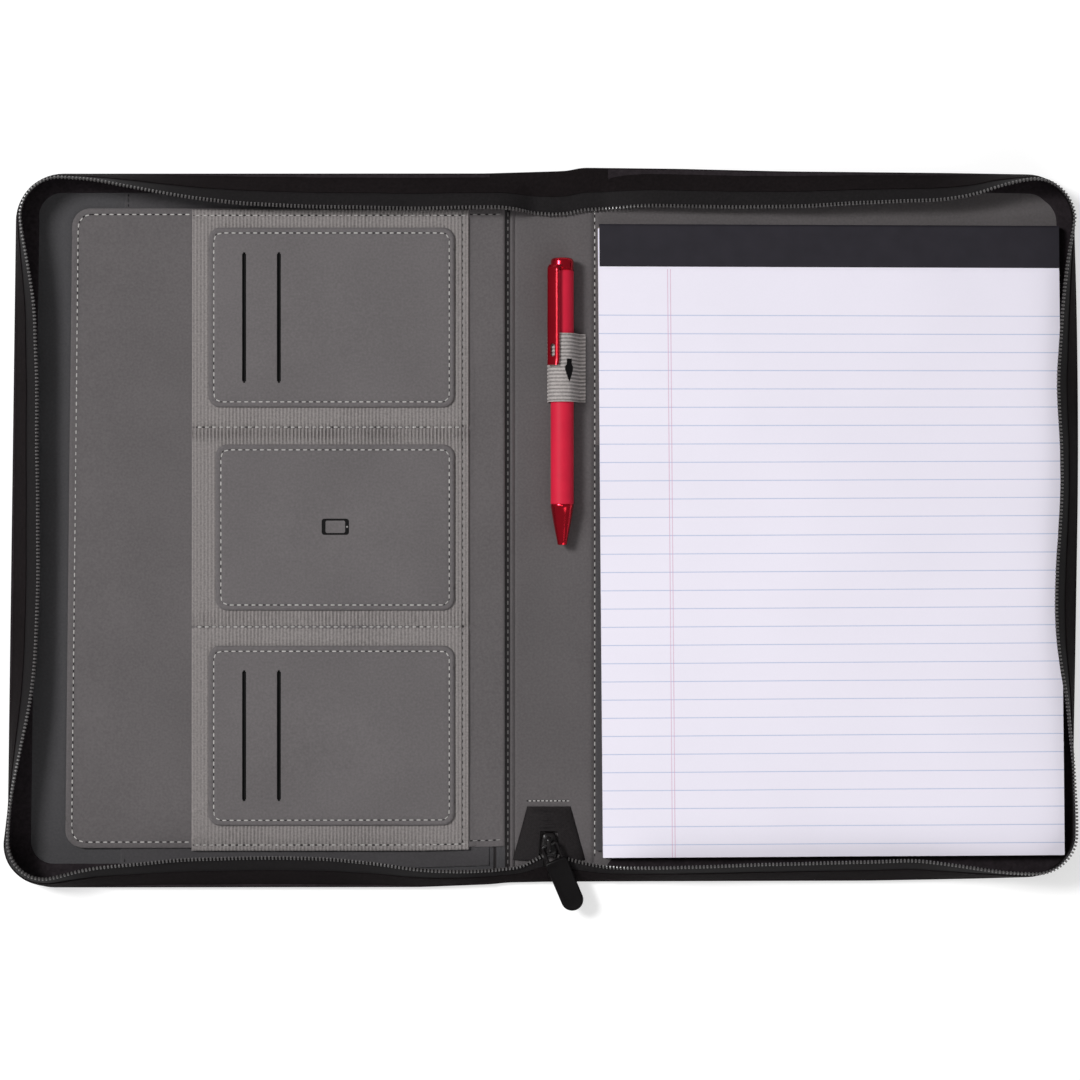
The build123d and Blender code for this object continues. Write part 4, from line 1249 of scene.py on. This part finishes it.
upper_tube = barrel_profile(barrel_low.y, barrel_high.y)
lower_tube = barrel_profile(box_mm("pen_lower_barrel")[0].y, barrel_low.y - 0.1)
carried(lathe("pen_upper_tube", upper_tube, red_barrel), "pen_upper", "red_barrel", "pen_upper_barrel")
carried(lathe("pen_lower_tube", lower_tube, red_barrel), "pen_lower", "red_barrel", "pen_lower_barrel")
carried(lathe("pen_cap_turned", cap_profile(), red_metal, False), "pen_upper", "red_metal", "pen_cap")
carried(lathe("pen_nose_turned", nose_profile(), red_metal), "pen_lower", "red_metal", "pen_nose")
carried(pen_clip(), "pen_upper", "red_metal", "pen_clip")

# Pen loop
loop_arc = 6.35
loop_left, loop_right = -0.7, 17.2
nib_side = [(0, -5.6), (1.1, -2.9), (2.0, -0.2), (2.0, 1.4), (1.2, 2.5), (1.2, 5.0)]
nib_outline = nib_side + [(-across, along) for across, along in reversed(nib_side[1:])]
nib_turn, nib_y = radians(60), 75.0


def loop_line():
    """Cross-section of the loop: up beside the pen, over it, down and out along the lining."""
    line = [(loop_left, deck + 0.7), (loop_left + 0.4, deck + 0.9), (-0.4, deck + 1.4), (-0.2, deck + 2.4)]
    line += [pen_point(loop_arc, t, 0).xz for t in spaced(pi, radians(48), 18)]
    line += [(12.0, 12.6), (12.9, 10.4), (13.5, 8.2), (13.9, 6.7), (14.4, deck + 1.2), (15.3, deck + 0.85)]
    return [Vector((x, 0, z)) for x, z in [*line, (loop_right, deck + 0.8)]]


def elastic_loop():
    """Ribbed elastic band over the pen."""
    line = loop_line()
    ways = [(ahead - behind).normalized() for ahead, behind in zip(line[1:] + line[-1:], line[:1] + line)]
    outs = [Vector((-way.z, 0, way.x)) for way in ways]
    count = int((loop_high.y - loop_low.y) / loop_rib_pitch * 4)
    outer, inner = [], []
    for y in spaced(loop_low.y, loop_high.y, count):
        row = [p + Vector((0, y, 0)) for p in line]
        rib = 0.26 * cos(2 * pi * (y - loop_low.y) / loop_rib_pitch)
        outer.append([p + out * rib for p, out in zip(row, outs)])
        inner.append([p - out * 0.55 for p, out in zip(row, outs)])
    return shell("pen_loop_band", outer, inner, [loop_elastic])


def nib_mark():
    """Printed pen nib on the loop."""
    rings = []
    for scale, lift in ((1.0, 0.1), (1.0, 0.4), (0.02, 0.44)):
        places = [(nib_turn - wide * scale / loop_arc, nib_y + long * scale) for wide, long in nib_outline]
        rings.append([pen_point(loop_arc + lift, *place) for place in places])
    return build("loop_nib_mark", *tube(rings), [printed_mark])


loop_piece = carried(elastic_loop(), "spine", "grey_elastic", "pen_loop")
carried(nib_mark(), "spine", "black_tape")

# Zip tail
tail_low, tail_high = box_mm("zip_tail")
tail_low.y -= 1.5
tail_top_half, tail_foot_half = 10.2, 17.0
tail_slot_half, tail_slot_y = 4.5, -141.4
tail_seam_half, tail_seam_off = 9.9, 2.6


def tail_half(y):
    """Half width of the tail at a place along it."""
    share = (tail_high.y - y) / (tail_high.y - tail_low.y)
    return tail_top_half + (tail_foot_half - tail_top_half) * share


def tail_height(x, y):
    """Top of the tail: the closed chain swells its middle, and its sides lie down on the lining."""
    share = abs(x) / tail_half(y)
    start = smooth((tail_high.y - y) / 4)
    chain = 0.3 * cos(2 * pi * y / tooth_pitch) * hump(x, 2.3) * start
    return deck + 0.9 + 2.3 * start * (1 - share**2.4) + chain + 0.12 * ruffle(x, y, 6, 2.0)


def in_tail_slot(point):
    """Whether a point of the tail lies where the slider stands."""
    return point.y < tail_slot_y and abs(point.x) < tail_slot_half


def zip_tail():
    """Cloth tab over the closed end of the zip, split round the slider."""
    shares = mirrored([0.1, 0.2, 0.3, 0.4, 0.5, 0.64, 0.78, 0.9, 0.97, 1])
    upper, lower = [], []
    for y in spaced(tail_high.y, tail_slot_y, 44) + spaced(tail_slot_y, tail_low.y, 14)[1:]:
        row = [(share * tail_half(y), 0.5 * smooth((abs(share) - 0.95) / 0.05)) for share in shares]
        upper.append([Vector((x, y, tail_height(x, y) - drop)) for x, drop in row])
        lower.append([Vector((x, y, max(tail_height(x, y) - 1.0, deck + 0.25))) for x, _ in row])
    return shell("zip_tail_tab", upper, lower, [tab_cloth], None, 40, in_tail_slot)


# Slider
slider_low, slider_high = box_mm("slider_body")
crown_low, crown_high = box_mm("slider_crown")
slider_y = (slider_low.y + slider_high.y) / 2
shield = [(2.9, 5.5), (4.3, -2.75), (2.9, -5.5), (-2.9, -5.5), (-4.3, -2.75), (-2.9, 5.5)]
neck = [(1.4, -0.2), (1.4, -4.6), (-1.4, -4.6), (-1.4, -0.2)]


def ring_stack(name, outline, levels, material, crease=35):
    """Solid from an outline repeated at (inset, height) levels."""
    middle = sum((Vector(p) for p in outline), Vector((0, 0))) / len(outline)
    rings = []
    for inset, z in levels:
        offs = [Vector(p) - middle for p in outline]
        ring = [middle + off * max(1 - inset / off.length, 0.02) for off in offs]
        rings.append([Vector((*place, z)) for place in ring])
    return build(name, *tube(rings), [material], None, crease)


def rounded(corners, radius):
    """Outline on the slider with each corner of a polygon rounded off."""
    corners = [Vector((x, y + slider_y)) for x, y in corners]
    line = []
    for i, here in enumerate(corners):
        start = here + (corners[i - 1] - here).normalized() * radius
        end = here + (corners[(i + 1) % len(corners)] - here).normalized() * radius
        line += [start.lerp(here, t).lerp(here.lerp(end, t), t) for t in spaced(0, 1, 6)]
    return line


def slider_plates():
    """Domed top plate and flat under plate of the slider, with the post between them."""
    outline = rounded(shield, 1.8)
    low, high = slider_low.z, slider_high.z
    drops = [(0.5, 1.5), (0.05, 1.35), (0, 1.0), (0.25, 0.55), (0.7, 0.25)]
    drops += [(1.4, 0.05), (2.4, -0.08), (9, -0.15)]
    dome = [(inset, high - drop) for inset, drop in drops]
    sole = [(inset, low + rise) for inset, rise in ((0.5, 0), (0.1, 0.2), (0, 0.6), (0.1, 1.0), (0.5, 1.3))]
    post = [(0, low + 1.0), (0, high - 1.2)]
    forms = (("top_plate", outline, dome), ("under_plate", outline, sole), ("post", rounded(neck, 0.6), post))
    return [ring_stack(f"slider_{name}", shape, levels, black_metal) for name, shape, levels in forms]


def bent_bar(name, path, side, half_width, half_thick):
    """Lacquered bar with a rounded section that follows a path, with the side direction across it."""
    rings = []
    for point, ahead, behind in zip(path, path[1:] + path[-1:], path[:1] + path):
        out = (ahead - behind).normalized().cross(side).normalized()
        rings.append([point + side * (half_width * cos(t)) + out * (half_thick * sin(t)) for t in turns(12)])
    return build(name, *tube(rings), [black_metal])


def crown_arch():
    """Arch over the slider that the pull's pin turns under."""
    low, high = crown_low.z, crown_high.z - 0.5
    half = (crown_high.y - crown_low.y) / 2 - 0.5
    bend = 1.6
    legs = [(-half, low - 0.2), (-half, low + 0.6)]
    for middle, angles in ((bend - half, spaced(pi, pi / 2, 6)), (half - bend, spaced(pi / 2, 0, 6))):
        legs += [(middle + bend * cos(t), high - bend + bend * sin(t)) for t in angles]
    legs += [(half, low + 0.6), (half, low - 0.2)]
    path = [Vector((0, slider_y + y, z)) for y, z in legs]
    return bent_bar("slider_crown_arch", path, Vector((1, 0, 0)), 1.1, 0.5)


# Pull
pull_hinge = joint_mm("pull_flip")
pull_turn = radians(23)
pull_along = Vector((sin(pull_turn), -cos(pull_turn), 0))
pull_across = Vector((cos(pull_turn), sin(pull_turn), 0))
grip_low, grip_high = box_mm("pull_grip")
grip_start, grip_end, grip_half, grip_round = 7.5, 33.0, 5.25, 5.2
link_half, link_bend, link_end = 3.55, 1.0, 12.5


def on_pull(along, across):
    """Point of the pull from its hinge."""
    return pull_hinge + pull_along * along + pull_across * across


def pull_link():
    """Wire link: a pin under the crown and two arms into the grip."""
    turn = [(link_bend * cos(t), link_bend * sin(t)) for t in spaced(0, pi / 2, 5)]
    arm = [(link_bend - along, link_half - link_bend + across) for along, across in turn]
    arm.append((link_end, link_half))
    path = [on_pull(along, -across) for along, across in reversed(arm)] + [on_pull(*place) for place in arm]
    return bent_bar("pull_link_wire", path, UP, 0.74, 0.74)


def pull_grip():
    """Moulded grip with a round end and softened edges."""
    low, high = grip_low.z, grip_high.z
    round_start = grip_end - grip_round
    sides = [(grip_start, -4.6), (grip_start + 0.9, -grip_half), (round_start, -grip_half)]
    arc = [(round_start + grip_round * sin(t), -grip_half * cos(t)) for t in spaced(0, pi, 20)[1:-1]]
    flat = sides + arc + [(along, -across) for along, across in reversed(sides)]
    levels = [(0.9, low), (0.25, low + 0.25), (0, low + 0.8), (0, high - 0.7)]
    levels += [(0.25, high - 0.2), (0.8, high), (1.5, high - 0.12), (4.0, high - 0.15)]
    return ring_stack("pull_grip_moulded", [on_pull(*place).xy for place in flat], levels, black_rubber, 50)


tail_piece = carried(zip_tail(), "spine", "black_tape", "zip_tail", "tail_zip_teeth")
tail_row = []
for x in spaced(-tail_seam_half, tail_seam_half, 20):
    tail_row.append(Vector((x, tail_high.y + tail_seam_off, lining_height(1, x, tail_high.y))))
carried(seam("tail_seam", tail_row, thread, 1.3, 1.9, 0.55), "spine", "grey_lining")
for plate in slider_plates():
    carried(plate, "slider", "black_metal", "slider_body")
carried(crown_arch(), "slider", "black_metal", "slider_crown")
carried(pull_link(), "pull", "black_metal", "pull_link")
carried(pull_grip(), "pull", "black_rubber", "pull_grip")

# CAD nodes that show as they are
node_finish = {
    "spine_board": grey_board,
    "pad_staples": steel,
    "pen_twist_sleeve": dark_plastic,
    "pen_refill_tube": brass,
    "pen_refill_tip": brass,
}
for node, material in node_finish.items():
    frame["nodes"][node].data.materials.clear()
    frame["nodes"][node].data.materials.append(material)

# Camera, light and floor
frame_width = 506.2
view_middle, focus_height = (-4.2, -4.7), 10
camera_height = 1500.0
floor_reach, floor_z = 6000, -0.05
floor_grey = (0.6, 0.6, 0.6)


def set_camera():
    """Long lens straight above the open case."""
    data = bpy.data.cameras.new("camera")
    data.sensor_width = 36.0
    data.lens = data.sensor_width * camera_height / frame_width
    camera = added("camera", data)
    camera.location = Vector((*view_middle, camera_height + focus_height)) * MM
    bpy.context.scene.camera = camera


def softbox(name, place, width, length, watts):
    """Area lamp that points at the case, with its length towards the head."""
    data = bpy.data.lights.new(name, "AREA")
    data.shape = "RECTANGLE"
    data.size, data.size_y = width, length
    data.energy = watts
    lamp = added(name, data)
    lamp.location = place
    lamp.rotation_euler = (-Vector(place)).to_track_quat("-Z", "Y").to_euler()


def pale_floor():
    """Floor that the case lies on, white to the camera and in reflections."""
    corners = ((-1, -1), (1, -1), (1, 1), (-1, 1))
    points = [(x * floor_reach, y * floor_reach, floor_z) for x, y in corners]
    finish = Finish("pale floor", Roughness=0.9, Specular_IOR_Level=0.1, Emission_Color=(1, 1, 1, 1))
    rays = finish.add("ShaderNodeLightPath").outputs
    mirrored_rays = finish.math("MAXIMUM", rays["Is Glossy Ray"], rays["Is Transmission Ray"])
    seen = finish.math("MAXIMUM", rays["Is Camera Ray"], mirrored_rays)
    grey = finish.tint(finish.cloud(300.0), floor_grey, (0.3, 1.0), (0.7, 31 / 30))
    finish.feed(finish.shader["Base Color"], grey)
    finish.feed(finish.shader["Emission Strength"], finish.math("MULTIPLY", seen, 0.5))
    build("floor", points, [(0, 1, 2, 3)], [finish.material])


def soft_world(strength):
    """Even white surround."""
    world = bpy.data.worlds.new("surround")
    world.use_nodes = True
    surround = world.node_tree.nodes["Background"].inputs
    surround["Color"].default_value = (1, 1, 1, 1)
    surround["Strength"].default_value = strength
    bpy.context.scene.world = world


bpy.context.scene.view_settings.view_transform = "Standard"
set_camera()
pale_floor()
soft_world(0.2)
softbox("key", (-1.76, 0.88, 2.4), 0.8, 0.8, 77.5)
softbox("fill", (0.7, -1.3, 1.1), 1.2, 1.2, 9)
softbox("strip", (-0.3, 0.1, 1.1), 0.05, 0.9, 1.2)
